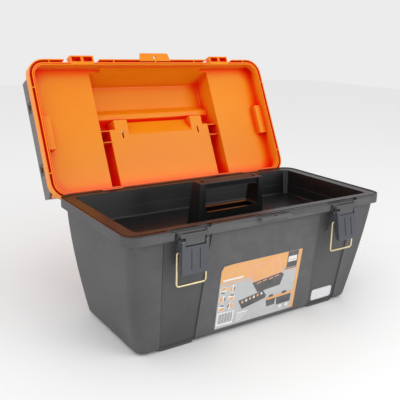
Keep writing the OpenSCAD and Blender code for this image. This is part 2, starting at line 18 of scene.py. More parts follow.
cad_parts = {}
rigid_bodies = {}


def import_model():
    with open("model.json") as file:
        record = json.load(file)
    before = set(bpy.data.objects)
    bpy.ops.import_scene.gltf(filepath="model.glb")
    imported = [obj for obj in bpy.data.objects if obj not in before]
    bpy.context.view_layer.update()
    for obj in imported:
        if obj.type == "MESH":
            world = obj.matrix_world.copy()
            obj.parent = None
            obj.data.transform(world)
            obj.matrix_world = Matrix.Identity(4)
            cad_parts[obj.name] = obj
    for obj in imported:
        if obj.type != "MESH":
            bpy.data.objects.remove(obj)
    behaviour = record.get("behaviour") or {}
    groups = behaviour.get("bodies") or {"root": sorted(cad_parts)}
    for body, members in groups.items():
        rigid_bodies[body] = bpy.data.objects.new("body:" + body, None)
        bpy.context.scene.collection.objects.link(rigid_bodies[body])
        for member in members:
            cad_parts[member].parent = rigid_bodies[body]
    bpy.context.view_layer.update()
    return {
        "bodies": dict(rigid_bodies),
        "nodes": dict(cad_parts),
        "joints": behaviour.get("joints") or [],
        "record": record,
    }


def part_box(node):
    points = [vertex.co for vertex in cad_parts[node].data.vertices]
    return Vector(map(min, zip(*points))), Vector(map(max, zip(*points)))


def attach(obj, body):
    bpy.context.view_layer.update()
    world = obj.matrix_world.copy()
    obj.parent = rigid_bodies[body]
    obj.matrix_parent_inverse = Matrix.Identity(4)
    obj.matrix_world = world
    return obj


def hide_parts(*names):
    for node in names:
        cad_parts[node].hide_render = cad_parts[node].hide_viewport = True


LOG = logging.getLogger("toolbox")
Point = tuple[float, float, float]
Colour = tuple[float, float, float]
Outline = Sequence[tuple[float, float]]
MM = 0.001


# ---------------------------------------------------------------- finishes


class Nodes:
    """Adds nodes to one shader tree and joins them up."""

    def __init__(self, tree: bpy.types.NodeTree) -> None:
        """Keep the tree to work on."""
        self.tree = tree

    def feed(self, target: bpy.types.NodeSocket, value: object) -> None:
        """Link a socket to an input, or set the input to a plain value."""
        if isinstance(value, bpy.types.NodeSocket):
            self.tree.links.new(value, target)
        else:
            target.default_value = value

    def node(self, kind: str, inputs: dict[str | int, object] | None = None,
             **values: object) -> bpy.types.bpy_prop_collection:
        """Add a node.

        Args:
            kind: Blender's name for the node type, after ShaderNode.
            inputs: A socket or a plain value for each input, by name or number.
            **values: Properties of the node.

        Returns:
            The node's outputs.
        """
        made = self.tree.nodes.new("ShaderNode" + kind)
        for key, value in values.items():
            setattr(made, key, value)
        for key, value in (inputs or {}).items():
            self.feed(made.inputs[key], value)
        return made.outputs

    def place(self) -> bpy.types.NodeSocket:
        """Return each point's place in its piece's own coordinates."""
        return self.node("TexCoord")["Object"]

    def math(self, operation: str, *inputs: object, clamp: bool = False) -> bpy.types.NodeSocket:
        """Return the result of a sum on sockets or numbers, held between 0 and 1 if clamped."""
        return self.node("Math", dict(enumerate(inputs)), operation=operation, use_clamp=clamp)[0]

    def spread(self, value: bpy.types.NodeSocket, low: float, high: float, start: float = 0.0,
               end: float = 1.0) -> bpy.types.NodeSocket:
        """Carry a value from the range low to high over to the range start to end."""
        return self.node("MapRange", {"Value": value, "From Min": low, "From Max": high,
                                      "To Min": start, "To Max": end})["Result"]

    def blend(self, share: bpy.types.NodeSocket, first: object, second: object,
              kind: str = "RGBA") -> bpy.types.NodeSocket:
        """Go from the first colour or number to the second as the share rises."""
        inputs = {"Factor": share, "A": first, "B": second}
        return self.node("Mix", inputs, data_type=kind)["Result"]

    def group(self, tree: bpy.types.NodeTree, **inputs: float) -> bpy.types.bpy_prop_collection:
        """Place a shared effect with its own values, and return its outputs."""
        made = self.tree.nodes.new("ShaderNodeGroup")
        made.node_tree = tree
        for key, value in inputs.items():
            self.feed(made.inputs[key], value)
        return made.outputs


class GroupBuilder(Nodes):
    """Builds one shader node group with named inputs and outputs."""

    def __init__(self, name: str, **inputs: float) -> None:
        """Start a group.

        Args:
            name: The group's name.
            **inputs: Each input's name and default.
        """
        super().__init__(bpy.data.node_groups.new(name, "ShaderNodeTree"))
        for key, default in inputs.items():
            self._socket(key, "INPUT").default_value = default
        self.entry = self.tree.nodes.new("NodeGroupInput").outputs
        self.exit = self.tree.nodes.new("NodeGroupOutput").inputs

    def _socket(self, name: str, way: str) -> bpy.types.NodeTreeInterfaceSocket:
        """Add one plain number to the group's interface."""
        return self.tree.interface.new_socket(name=name, in_out=way, socket_type="NodeSocketFloat")

    def gives(self, **outputs: bpy.types.NodeSocket) -> bpy.types.NodeTree:
        """Add and feed the outputs, and return the finished group."""
        for key, value in outputs.items():
            self._socket(key, "OUTPUT")
            self.feed(self.exit[key], value)
        return self.tree


class Effects:
    """The shader node groups that several finishes share."""

    def __init__(self) -> None:
        """Build every group once."""
        self.grain = self._moulded_grain()
        self.wear = self._edge_wear()
        self.scuffs = self._scuffs()
        self.cavity = self._painted_cavity_shade()

    @staticmethod
    def _moulded_grain() -> bpy.types.NodeTree:
        """Fine spark-eroded grain of a mould, with slow drift in tone.

        Returns:
            A group that gives Height, Tone and Sheen.
        """
        g = GroupBuilder("moulded_grain", Grain=1400.0, Drift=9.0)
        place, scale = g.place(), g.entry["Grain"]
        fine = g.node("TexNoise", {"Vector": place, "Scale": scale, "Detail": 3.0, "Roughness": 0.62})["Fac"]
        pits = g.node("TexVoronoi", {"Vector": place, "Scale": g.math("MULTIPLY", scale, 0.55)})["Distance"]
        slow = g.node("TexNoise", {"Vector": place, "Scale": g.entry["Drift"], "Detail": 4.0})["Fac"]
        half_pits = g.math("MULTIPLY", pits, 0.5)
        tone = g.math("ADD", g.math("MULTIPLY", slow, 0.6), g.math("MULTIPLY", fine, 0.4))
        return g.gives(Height=g.math("ADD", fine, half_pits), Tone=tone,
                       Sheen=g.math("ADD", g.math("MULTIPLY", slow, 0.5), half_pits))

    @staticmethod
    def _edge_wear() -> bpy.types.NodeTree:
        """Rubbed edges: a group that gives a Mask, which rises where the surface turns sharply."""
        g = GroupBuilder("edge_wear", Amount=0.5, Scale=60.0)
        breakup = g.node("TexNoise", {"Vector": g.place(), "Scale": g.entry["Scale"], "Detail": 5.0})["Fac"]
        sharp = g.spread(g.node("NewGeometry")["Pointiness"], 0.515, 0.60)
        rubbed = g.math("MULTIPLY", sharp, breakup)
        return g.gives(Mask=g.math("MULTIPLY", rubbed, g.entry["Amount"], clamp=True))

    @staticmethod
    def _painted_cavity_shade() -> bpy.types.NodeTree:
        """Painted shade in deep narrow places: a group that gives a Mask, high where little light arrives."""
        g = GroupBuilder("cavity", Reach=0.03)
        open_sky = g.node("AmbientOcclusion", {"Distance": g.entry["Reach"]}, samples=12)["AO"]
        return g.gives(Mask=g.spread(open_sky, 0.84, 0.42))

    @staticmethod
    def _scuffs() -> bpy.types.NodeTree:
        """Sparse fine scratches from handling: a group that gives a Mask."""
        g = GroupBuilder("handling_scuffs", Amount=0.4)
        place = g.place()
        stretched = g.node("Mapping", {"Vector": place, "Rotation": (0.3, 0.5, 0.6),
                                       "Scale": (40.0, 900.0, 300.0)})["Vector"]
        lines = g.node("TexNoise", {"Vector": stretched, "Scale": 1.0, "Detail": 2.0})["Fac"]
        patches = g.node("TexNoise", {"Vector": place, "Scale": 14.0})["Fac"]
        both = g.math("MULTIPLY", g.spread(lines, 0.66, 0.74), g.spread(patches, 0.45, 0.7))
        return g.gives(Mask=g.math("MULTIPLY", both, g.entry["Amount"], clamp=True))


@dataclass(frozen=True)
class Finish:
    """A moulded or metal finish with grain, drift in tone, worn edges and scuffs, and optional painted shade
    in deep narrow places.
    """

    name: str
    dark: Colour
    light: Colour
    worn: Colour
    rough: tuple[float, float]
    grain: float = 1400.0
    grain_depth: float = 0.12
    grain_height: float = 0.0003
    drift: float = 9.0
    wear: float = 0.5
    scuff: float = 0.3
    metallic: float = 0.0
    specular: float = 0.5
    coat: float = 0.0
    coat_rough: float = 0.12
    transmission: float = 0.0
    polished_above: float | None = None
    polish_fade: float = 0.0012
    polish_colour: Colour = (0.010, 0.010, 0.011)
    polish_rough: float = 0.20
    # Deep red painted into deep narrow places as shade and interreflected light, or None.
    cavity: Colour | None = None

    def build(self, effects: Effects) -> bpy.types.Material:
        """Make the material.

        Args:
            effects: The shared node groups.

        Returns:
            The finished material.
        """
        made = bpy.data.materials.new(self.name)
        made.use_nodes = True
        net = Nodes(made.node_tree)
        grain = net.group(effects.grain, Grain=self.grain, Drift=self.drift)
        wear = net.group(effects.wear, Amount=self.wear)["Mask"]
        scuff = net.group(effects.scuffs, Amount=self.scuff)["Mask"]
        colour = net.blend(net.spread(grain["Tone"], 0.3, 0.7), (*self.dark, 1.0), (*self.light, 1.0))
        colour = net.blend(net.math("MAXIMUM", wear, scuff), colour, (*self.worn, 1.0))
        gloss = net.spread(grain["Sheen"], 0.2, 0.6, *self.rough)
        # Painted shade: deep narrow places are tinted toward a deep red that stands in for the light lost and
        # reddened there.
        if self.cavity is not None:
            colour = net.blend(net.group(effects.cavity)["Mask"], colour, (*self.cavity, 1.0))
        if self.polished_above is not None:
            height = net.node("SeparateXYZ", {"Vector": net.place()})["Z"]
            above = net.spread(height, self.polished_above, self.polished_above + self.polish_fade)
            colour = net.blend(above, colour, (*self.polish_colour, 1.0))
            gloss = net.blend(above, gloss, self.polish_rough, "FLOAT")
        bump = net.node("Bump", {"Strength": self.grain_depth, "Distance": self.grain_height,
                                 "Height": grain["Height"]})
        looks = {"Base Color": colour, "Roughness": gloss, "Normal": bump["Normal"],
                 "Metallic": self.metallic, "Specular IOR Level": self.specular,
                 "Coat Weight": self.coat, "Coat Roughness": self.coat_rough,
                 "Transmission Weight": self.transmission}
        shader = made.node_tree.nodes["Principled BSDF"]
        for key, value in looks.items():
            net.feed(shader.inputs[key], value)
        return made


class Palette:
    """Every finish of the toolbox, each made once."""

    def __init__(self) -> None:
        """Build the shared effects and all materials."""
        effects = Effects()
        finishes = [
            Finish("tub_black", (0.050, 0.049, 0.051), (0.098, 0.096, 0.099), (0.20, 0.20, 0.205),
                   (0.44, 0.62), grain=760.0, grain_depth=0.55, wear=0.55, scuff=0.35,
                   polished_above=0.1976),
            Finish("tray_black", (0.004, 0.0038, 0.004), (0.009, 0.0085, 0.009), (0.06, 0.06, 0.06),
                   (0.22, 0.36), grain=1100.0, grain_depth=0.12, wear=0.4, scuff=0.2, specular=0.32),
            Finish("lid_orange", (0.87, 0.240, 0.004), (0.91, 0.290, 0.006), (0.98, 0.42, 0.05),
                   (0.20, 0.34), grain=700.0, grain_depth=0.08, wear=0.3, scuff=0.10,
                   # The deep red given for cavities is painted shade in the lid's gaps.
                   specular=0.22, coat=0.12, cavity=(0.93, 0.018, 0.0006)),
            Finish("lever_slate", (0.032, 0.036, 0.047), (0.072, 0.078, 0.096), (0.14, 0.15, 0.17),
                   (0.20, 0.34), grain=1800.0, grain_depth=0.1, wear=0.5, scuff=0.4, coat=0.3),
            Finish("grip_black", (0.028, 0.028, 0.030), (0.045, 0.045, 0.048), (0.10, 0.10, 0.10),
                   (0.40, 0.56), grain=1300.0, grain_depth=0.4, wear=0.5, scuff=0.3),
            Finish("wire_gold", (0.70, 0.56, 0.30), (0.86, 0.74, 0.46), (0.78, 0.76, 0.70),
                   (0.20, 0.34), grain=2600.0, grain_depth=0.15, drift=60.0, wear=0.6, metallic=1.0),
            Finish("pin_steel", (0.50, 0.50, 0.52), (0.64, 0.64, 0.66), (0.75, 0.75, 0.76),
                   (0.22, 0.36), grain=2600.0, grain_depth=0.15, drift=70.0, metallic=1.0),
            Finish("smoke_clear", (0.10, 0.078, 0.072), (0.19, 0.15, 0.14), (0.5, 0.46, 0.42),
                   (0.10, 0.20), grain=500.0, grain_depth=0.05, wear=0.4, transmission=0.55),
            Finish("clip_brown", (0.050, 0.030, 0.026), (0.085, 0.055, 0.045), (0.16, 0.11, 0.09),
                   (0.26, 0.40), grain=1500.0, grain_depth=0.12, wear=0.5),
            Finish("badge_pearl", (0.70, 0.71, 0.73), (0.80, 0.81, 0.83), (0.6, 0.6, 0.6),
                   (0.16, 0.28), grain=900.0, grain_depth=0.05, coat=0.6),
            Finish("print_grey", (0.46, 0.47, 0.48), (0.52, 0.53, 0.54), (0.62, 0.62, 0.62),
                   (0.36, 0.5), grain=1900.0, grain_depth=0.12, drift=30.0, scuff=0.25),
            Finish("print_orange", (0.78, 0.36, 0.10), (0.84, 0.43, 0.14), (0.8, 0.5, 0.3),
                   (0.34, 0.46), grain=1900.0, grain_depth=0.1, drift=30.0, scuff=0.25),
            Finish("print_pale", (0.84, 0.30, 0.15), (0.88, 0.36, 0.20), (0.8, 0.6, 0.5),
                   (0.34, 0.46), grain=1900.0, grain_depth=0.1, drift=30.0, scuff=0.25),
            Finish("print_dark", (0.030, 0.030, 0.034), (0.048, 0.048, 0.052), (0.3, 0.3, 0.3),
                   (0.32, 0.44), grain=1900.0, grain_depth=0.1, drift=30.0, scuff=0.3),
            Finish("print_white", (0.80, 0.80, 0.80), (0.88, 0.88, 0.87), (0.7, 0.7, 0.7),
                   (0.38, 0.5), grain=1900.0, grain_depth=0.1, drift=30.0, scuff=0.2),
        ]
        self.made = {finish.name: finish.build(effects) for finish in finishes}

    def __getitem__(self, name: str) -> bpy.types.Material:
        """Return the material with this name."""
        return self.made[name]


# ---------------------------------------------------------------- mesh tools


class Axis(Enum):
    """The direction that a prism or rod runs along."""

    X = 0
    Y = 1
    Z = 2


def lift(axis: Axis, across: float, over: float, along: float) -> Point:
    """Place an outline point in space.

    Args:
        axis: The direction that the prism runs along.
        across: The outline's first number.
        over: The outline's second number.
        along: The place along the axis.

    Returns:
        The point, in the same unit.
    """
    if axis is Axis.X:
        return (along, across, over)
    if axis is Axis.Y:
        return (across, along, over)
    return (across, over, along)


@dataclass(frozen=True)
class Ring:
    """One level of a lofted moulding: a rounded rectangle at a height, in millimetres."""

    z: float
    x0: float
    x1: float
    y0: float
    y1: float
    radius: float

    def points(self, arc: int) -> list[Point]:
        """Return the ring's points.

        Args:
            arc: How many steps each corner takes.

        Returns:
            Points in order, starting in the corner at the highest x and y.
        """
        found = []
        r = min(self.radius, (self.x1 - self.x0) / 2 - 0.01, (self.y1 - self.y0) / 2 - 0.01)
        corners = [(self.x1 - r, self.y1 - r, 0), (self.x0 + r, self.y1 - r, 90),
                   (self.x0 + r, self.y0 + r, 180), (self.x1 - r, self.y0 + r, 270)]
        for cx, cy, start in corners:
            for step in range(arc + 1):
                turn = math.radians(start + 90 * step / arc)
                found.append((cx + r * math.cos(turn), cy + r * math.sin(turn), self.z))
        return found


def even_ring(z: float, half_x: float, half_y: float, radius: float) -> Ring:
    """Return a ring centred on the Z axis."""
    return Ring(z, -half_x, half_x, -half_y, half_y, radius)


class Solids:
    """Makers of closed solids with rounded edges. Every length is in millimetres."""

    @staticmethod
    def _done(shape: bmesh.types.BMesh, name: str) -> bpy.types.Mesh:
        """Turn a bmesh into a mesh in metres with its faces outwards."""
        bmesh.ops.recalc_face_normals(shape, faces=shape.faces)
        bmesh.ops.scale(shape, vec=(MM, MM, MM), verts=shape.verts)
        made = bpy.data.meshes.new(name)
        shape.to_mesh(made)
        shape.free()
        return made

    @staticmethod
    def _skin(shape: bmesh.types.BMesh, low: Sequence[bmesh.types.BMVert],
              high: Sequence[bmesh.types.BMVert]) -> None:
        """Join two loops of points with a band of faces."""
        for i in range(len(low)):
            j = (i + 1) % len(low)
            shape.faces.new((low[i], low[j], high[j], high[i]))

    @staticmethod
    def _round(shape: bmesh.types.BMesh, edges: Iterable[bmesh.types.BMEdge], soft: float,
               steps: int) -> None:
        """Round some edges."""
        if soft > 0:
            bmesh.ops.bevel(shape, geom=list(edges), offset=soft, offset_type="OFFSET", segments=steps,
                            profile=0.5, affect="EDGES", clamp_overlap=True)

    @classmethod
    def block(cls, low: Point, high: Point, soft: float = 0.5, steps: int = 2) -> bpy.types.Mesh:
        """Box with rounded edges.

        Args:
            low: Lowest corner.
            high: Highest corner.
            soft: Radius of its edges.
            steps: Facets in each rounded edge.

        Returns:
            The mesh.
        """
        outline = [(low[0], low[1]), (high[0], low[1]), (high[0], high[1]), (low[0], high[1])]
        return cls.prism(Axis.Z, outline, low[2], high[2], soft, steps)

    @classmethod
    def span(cls, x: Sequence[float], y: Sequence[float], z: Sequence[float],
             soft: float = 0.5) -> bpy.types.Mesh:
        """Return a box with rounded edges, given by its reach along each axis."""
        return cls.block((x[0], y[0], z[0]), (x[1], y[1], z[1]), soft)

    @classmethod
    def prism(cls, axis: Axis, outline: Outline, start: float, end: float,
              soft: float = 0.5, steps: int = 2) -> bpy.types.Mesh:
        """Outline carried along an axis, with every edge rounded.

        Args:
            axis: The direction that it runs along.
            outline: Its points across the axis.
            start: Where it starts.
            end: Where it ends.
            soft: Radius of its edges.
            steps: Facets in each rounded edge.

        Returns:
            The mesh.
        """
        shape = bmesh.new()
        near = [shape.verts.new(lift(axis, a, b, min(start, end))) for a, b in outline]
        far = [shape.verts.new(lift(axis, a, b, max(start, end))) for a, b in outline]
        shape.faces.new(near)
        shape.faces.new(far)
        cls._skin(shape, near, far)
        cls._round(shape, shape.edges, soft, steps)
        return cls._done(shape, "prism")

    @classmethod
    def loft(cls, rings: Sequence[Ring], arc: int = 8, soft: float = 0.0) -> bpy.types.Mesh:
        """Closed skin through several rings, with flat ends.

        Args:
            rings: The levels from the lowest to the highest.
            arc: Steps in each corner.
            soft: Radius of the edges round the two ends.

        Returns:
            The mesh.
        """
        shape = bmesh.new()
        loops = [[shape.verts.new(p) for p in ring.points(arc)] for ring in rings]
        for low, high in zip(loops, loops[1:]):
            cls._skin(shape, low, high)
        ends = [shape.faces.new(loops[0]), shape.faces.new(loops[-1])]
        cls._round(shape, {edge for end in ends for edge in end.edges}, soft, 3)
        return cls._done(shape, "loft")

    @classmethod
    def plate(cls, half_x: float, half_y: float, radius: float, z0: float, z1: float,
              soft: float = 0.6, arc: int = 8) -> bpy.types.Mesh:
        """Rounded rectangle plate, centred on the Z axis.

        Args:
            half_x: Half its length.
            half_y: Half its depth.
            radius: Radius of its corners.
            z0: Its underside.
            z1: Its top.
            soft: Radius of the edges round its faces.
            arc: Steps in each corner.

        Returns:
            The mesh.
        """
        return cls.loft([even_ring(z0, half_x, half_y, radius), even_ring(z1, half_x, half_y, radius)],
                        arc, soft)

    @classmethod
    def hoop(cls, outer: tuple[float, float, float], inner: tuple[float, float, float], z0: float,
             z1: float, soft: float = 0.3, arc: int = 8) -> bpy.types.Mesh:
        """Closed band between two rounded rectangles.

        Args:
            outer: Half length, half depth and corner radius outside.
            inner: The same inside.
            z0: Its underside.
            z1: Its top.
            soft: Radius of its edges.
            arc: Steps in each corner.

        Returns:
            The mesh.
        """
        shape = bmesh.new()
        loops = [[shape.verts.new(p) for p in even_ring(z, *size).points(arc)]
                 for size, z in ((outer, z0), (outer, z1), (inner, z1), (inner, z0))]
        rims = []
        for k in range(4):
            cls._skin(shape, loops[k], loops[(k + 1) % 4])
        for loop in loops:
            for i in range(len(loop)):
                rims.append(shape.edges.get((loop[i], loop[(i + 1) % len(loop)])))
        cls._round(shape, rims, soft, 2)
        return cls._done(shape, "hoop")

    @classmethod
    def rod(cls, axis: Axis, centre: Point, radius: float, length: float, soft: float = 0.0,
            facets: int = 32) -> bpy.types.Mesh:
        """Round bar centred on a point.

        Args:
            axis: The direction that it runs along.
            centre: Its middle.
            radius: Its radius.
            length: Its length.
            soft: Radius of the edges at its ends.
            facets: Sides of its outline.

        Returns:
            The mesh.
        """
        spots = {Axis.X: (centre[1], centre[2], centre[0]), Axis.Y: (centre[0], centre[2], centre[1]),
                 Axis.Z: (centre[0], centre[1], centre[2])}[axis]
        outline = [(spots[0] + radius * math.cos(2 * math.pi * i / facets),
                    spots[1] + radius * math.sin(2 * math.pi * i / facets)) for i in range(facets)]
        shape = bmesh.new()
        near = [shape.verts.new(lift(axis, a, b, spots[2] - length / 2)) for a, b in outline]
        far = [shape.verts.new(lift(axis, a, b, spots[2] + length / 2)) for a, b in outline]
        ends = [shape.faces.new(near), shape.faces.new(far)]
        cls._skin(shape, near, far)
        cls._round(shape, {edge for end in ends for edge in end.edges}, soft, 2)
        return cls._done(shape, "rod")

    @classmethod
    def wire(cls, path: Sequence[Point], radius: float, sides: int = 16) -> bpy.types.Mesh:
        """Round wire along a path, with closed ends.

        Args:
            path: The points that it follows.
            radius: Its radius.
            sides: Sides round the wire.

        Returns:
            The mesh.
        """
        points = [Vector(p) for p in path]
        shape = bmesh.new()
        loops = []
        across = None
        for i, point in enumerate(points):
            ahead = (points[min(i + 1, len(points) - 1)] - points[max(i - 1, 0)]).normalized()
            if across is None:
                across = ahead.orthogonal().normalized()
            across = (across - ahead * across.dot(ahead)).normalized()
            over = ahead.cross(across)
            loops.append([shape.verts.new(point + radius * (math.cos(a) * across + math.sin(a) * over))
                          for a in (2 * math.pi * k / sides for k in range(sides))])
        for low, high in zip(loops, loops[1:]):
            cls._skin(shape, low, high)
        ends = [shape.faces.new(loops[0]), shape.faces.new(loops[-1])]
        cls._round(shape, {edge for end in ends for edge in end.edges}, radius * 0.35, 2)
        return cls._done(shape, "wire")


def outwards(half: int, inner: float, outer: float) -> list[float]:
    """Return the lower and the higher x of a reach that runs outwards on one half (-1 or 1)."""
    return sorted((half * inner, half * outer))


def about(middle: float, reach: float) -> tuple[float, float]:
    """Return the two ends of a reach to both sides of a middle."""
    return middle - reach, middle + reach


def turned(mesh: bpy.types.Mesh, matrix: Matrix) -> bpy.types.Mesh:
    """Move a mesh by a matrix in metres and return it."""
    mesh.transform(matrix)
    return mesh


def joined(meshes: Iterable[bpy.types.Mesh]) -> bpy.types.Mesh:
    """Return one mesh that holds several."""
    shape = bmesh.new()
    for mesh in meshes:
        shape.from_mesh(mesh)
    made = bpy.data.meshes.new("joined")
    shape.to_mesh(made)
    shape.free()
    return made


def evaluated(holder: bpy.types.Object) -> bpy.types.Mesh:
    """Return an object's mesh with its modifiers carried out."""
    bpy.context.view_layer.update()
    return bpy.data.meshes.new_from_object(holder.evaluated_get(bpy.context.evaluated_depsgraph_get()))


class Carving:
    """A moulding made by joining and cutting closed solids, in order."""

    def __init__(self, first: bpy.types.Mesh) -> None:
        """Start from one solid."""
        self.first = first
        self.steps: list[tuple[str, bpy.types.Mesh]] = []

    def add(self, *meshes: bpy.types.Mesh) -> "Carving":
        """Join solids on, and return this carving."""
        self.steps += [("UNION", mesh) for mesh in meshes]
        return self

    def cut(self, *meshes: bpy.types.Mesh) -> "Carving":
        """Cut solids away, and return this carving."""
        self.steps += [("DIFFERENCE", mesh) for mesh in meshes]
        return self

    def done(self) -> bpy.types.Mesh:
        """Carry out every step.

        Returns:
            The finished mesh.
        """
        scene = bpy.context.scene.collection.objects
        holder = bpy.data.objects.new("carving", self.first)
        scene.link(holder)
        tools = []
        for operation, mesh in self.steps:
            tool = bpy.data.objects.new("tool", mesh)
            scene.link(tool)
            tools.append(tool)
            step = holder.modifiers.new(operation, "BOOLEAN")
            step.operation = operation
            step.object = tool
            step.solver = "MANIFOLD"
        made = evaluated(holder)
        for used in (holder, *tools):
            bpy.data.objects.remove(used)
        return made


def shaded(mesh: bpy.types.Mesh, angle: float = 32.0) -> bpy.types.Mesh:
    """Shade a moulding smooth across its rounded edges while its flat faces stay flat.

    Args:
        mesh: The mesh.
        angle: Edges sharper than this many degrees stay sharp.

    Returns:
        The shaded mesh.
    """
    mesh.shade_smooth()
    mesh.set_sharp_from_angle(angle=math.radians(angle))
    holder = bpy.data.objects.new("shading", mesh)
    bpy.context.scene.collection.objects.link(holder)
    weigh = holder.modifiers.new("weigh", "WEIGHTED_NORMAL")
    weigh.keep_sharp = True
    made = evaluated(holder)
    bpy.data.objects.remove(holder)
    return made


class Workshop:
    """Puts finished pieces on their bodies and knows where the frame's parts are."""

    def __init__(self, frame: dict, palette: Palette) -> None:
        """Keep the frame and the materials.

        Args:
            palette: All finishes.
        """
        self.frame = frame
        self.palette = palette
        self.joints = {joint["name"]: joint for joint in frame["joints"]}
        self.count = 0

    def pivot(self, joint: str) -> Point:
        """Return a joint's place in millimetres."""
        return tuple(value / MM for value in self.joints[joint]["pos_m"])

    def box(self, node: str) -> tuple[list[float], list[float]]:
        """Return a CAD node's lowest and highest corner in millimetres."""
        low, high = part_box(node)
        return [value / MM for value in low], [value / MM for value in high]

    def lid_turn(self) -> Matrix:
        """Return the matrix that carries the closed lid to where it rests."""
        hinge = self.joints["lid_hinge"]
        place = Matrix.Translation(Vector(hinge["pos_m"]))
        back = -math.radians(hinge["range_deg"][1])
        return place @ Matrix.Rotation(back, 4, Vector(hinge["axis"])) @ place.inverted()

    def finish_node(self, node: str, finish: str) -> None:
        """Keep a CAD node as it is and give it a finish."""
        part = self.frame["nodes"][node]
        for place in part.material_slots:
            place.material = self.palette[finish]
        LOG.info("dressed %s in %s", node, finish)

    def add(self, name: str, mesh: bpy.types.Mesh, body: str, finish: str,
            nodes: Sequence[str] = (), slot: str | None = None) -> bpy.types.Object:
        """Put a mesh in the scene as a piece of one body.

        Args:
            name: The piece's name.
            mesh: Its mesh, in the frame's metres.
            body: The body that it rides on.
            finish: Its finish.
            nodes: CAD nodes that it replaces.
            slot: Not used.

        Returns:
            The new object.
        """
        piece = bpy.data.objects.new(name, mesh)
        bpy.context.scene.collection.objects.link(piece)
        mesh.materials.clear()
        mesh.materials.append(self.palette[finish])
        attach(piece, body)
        if nodes:
            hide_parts(*nodes)
        self.count += 1
        LOG.info("built %s: %d faces on %s", name, len(mesh.polygons), body)
        return piece


# ---------------------------------------------------------------- tub


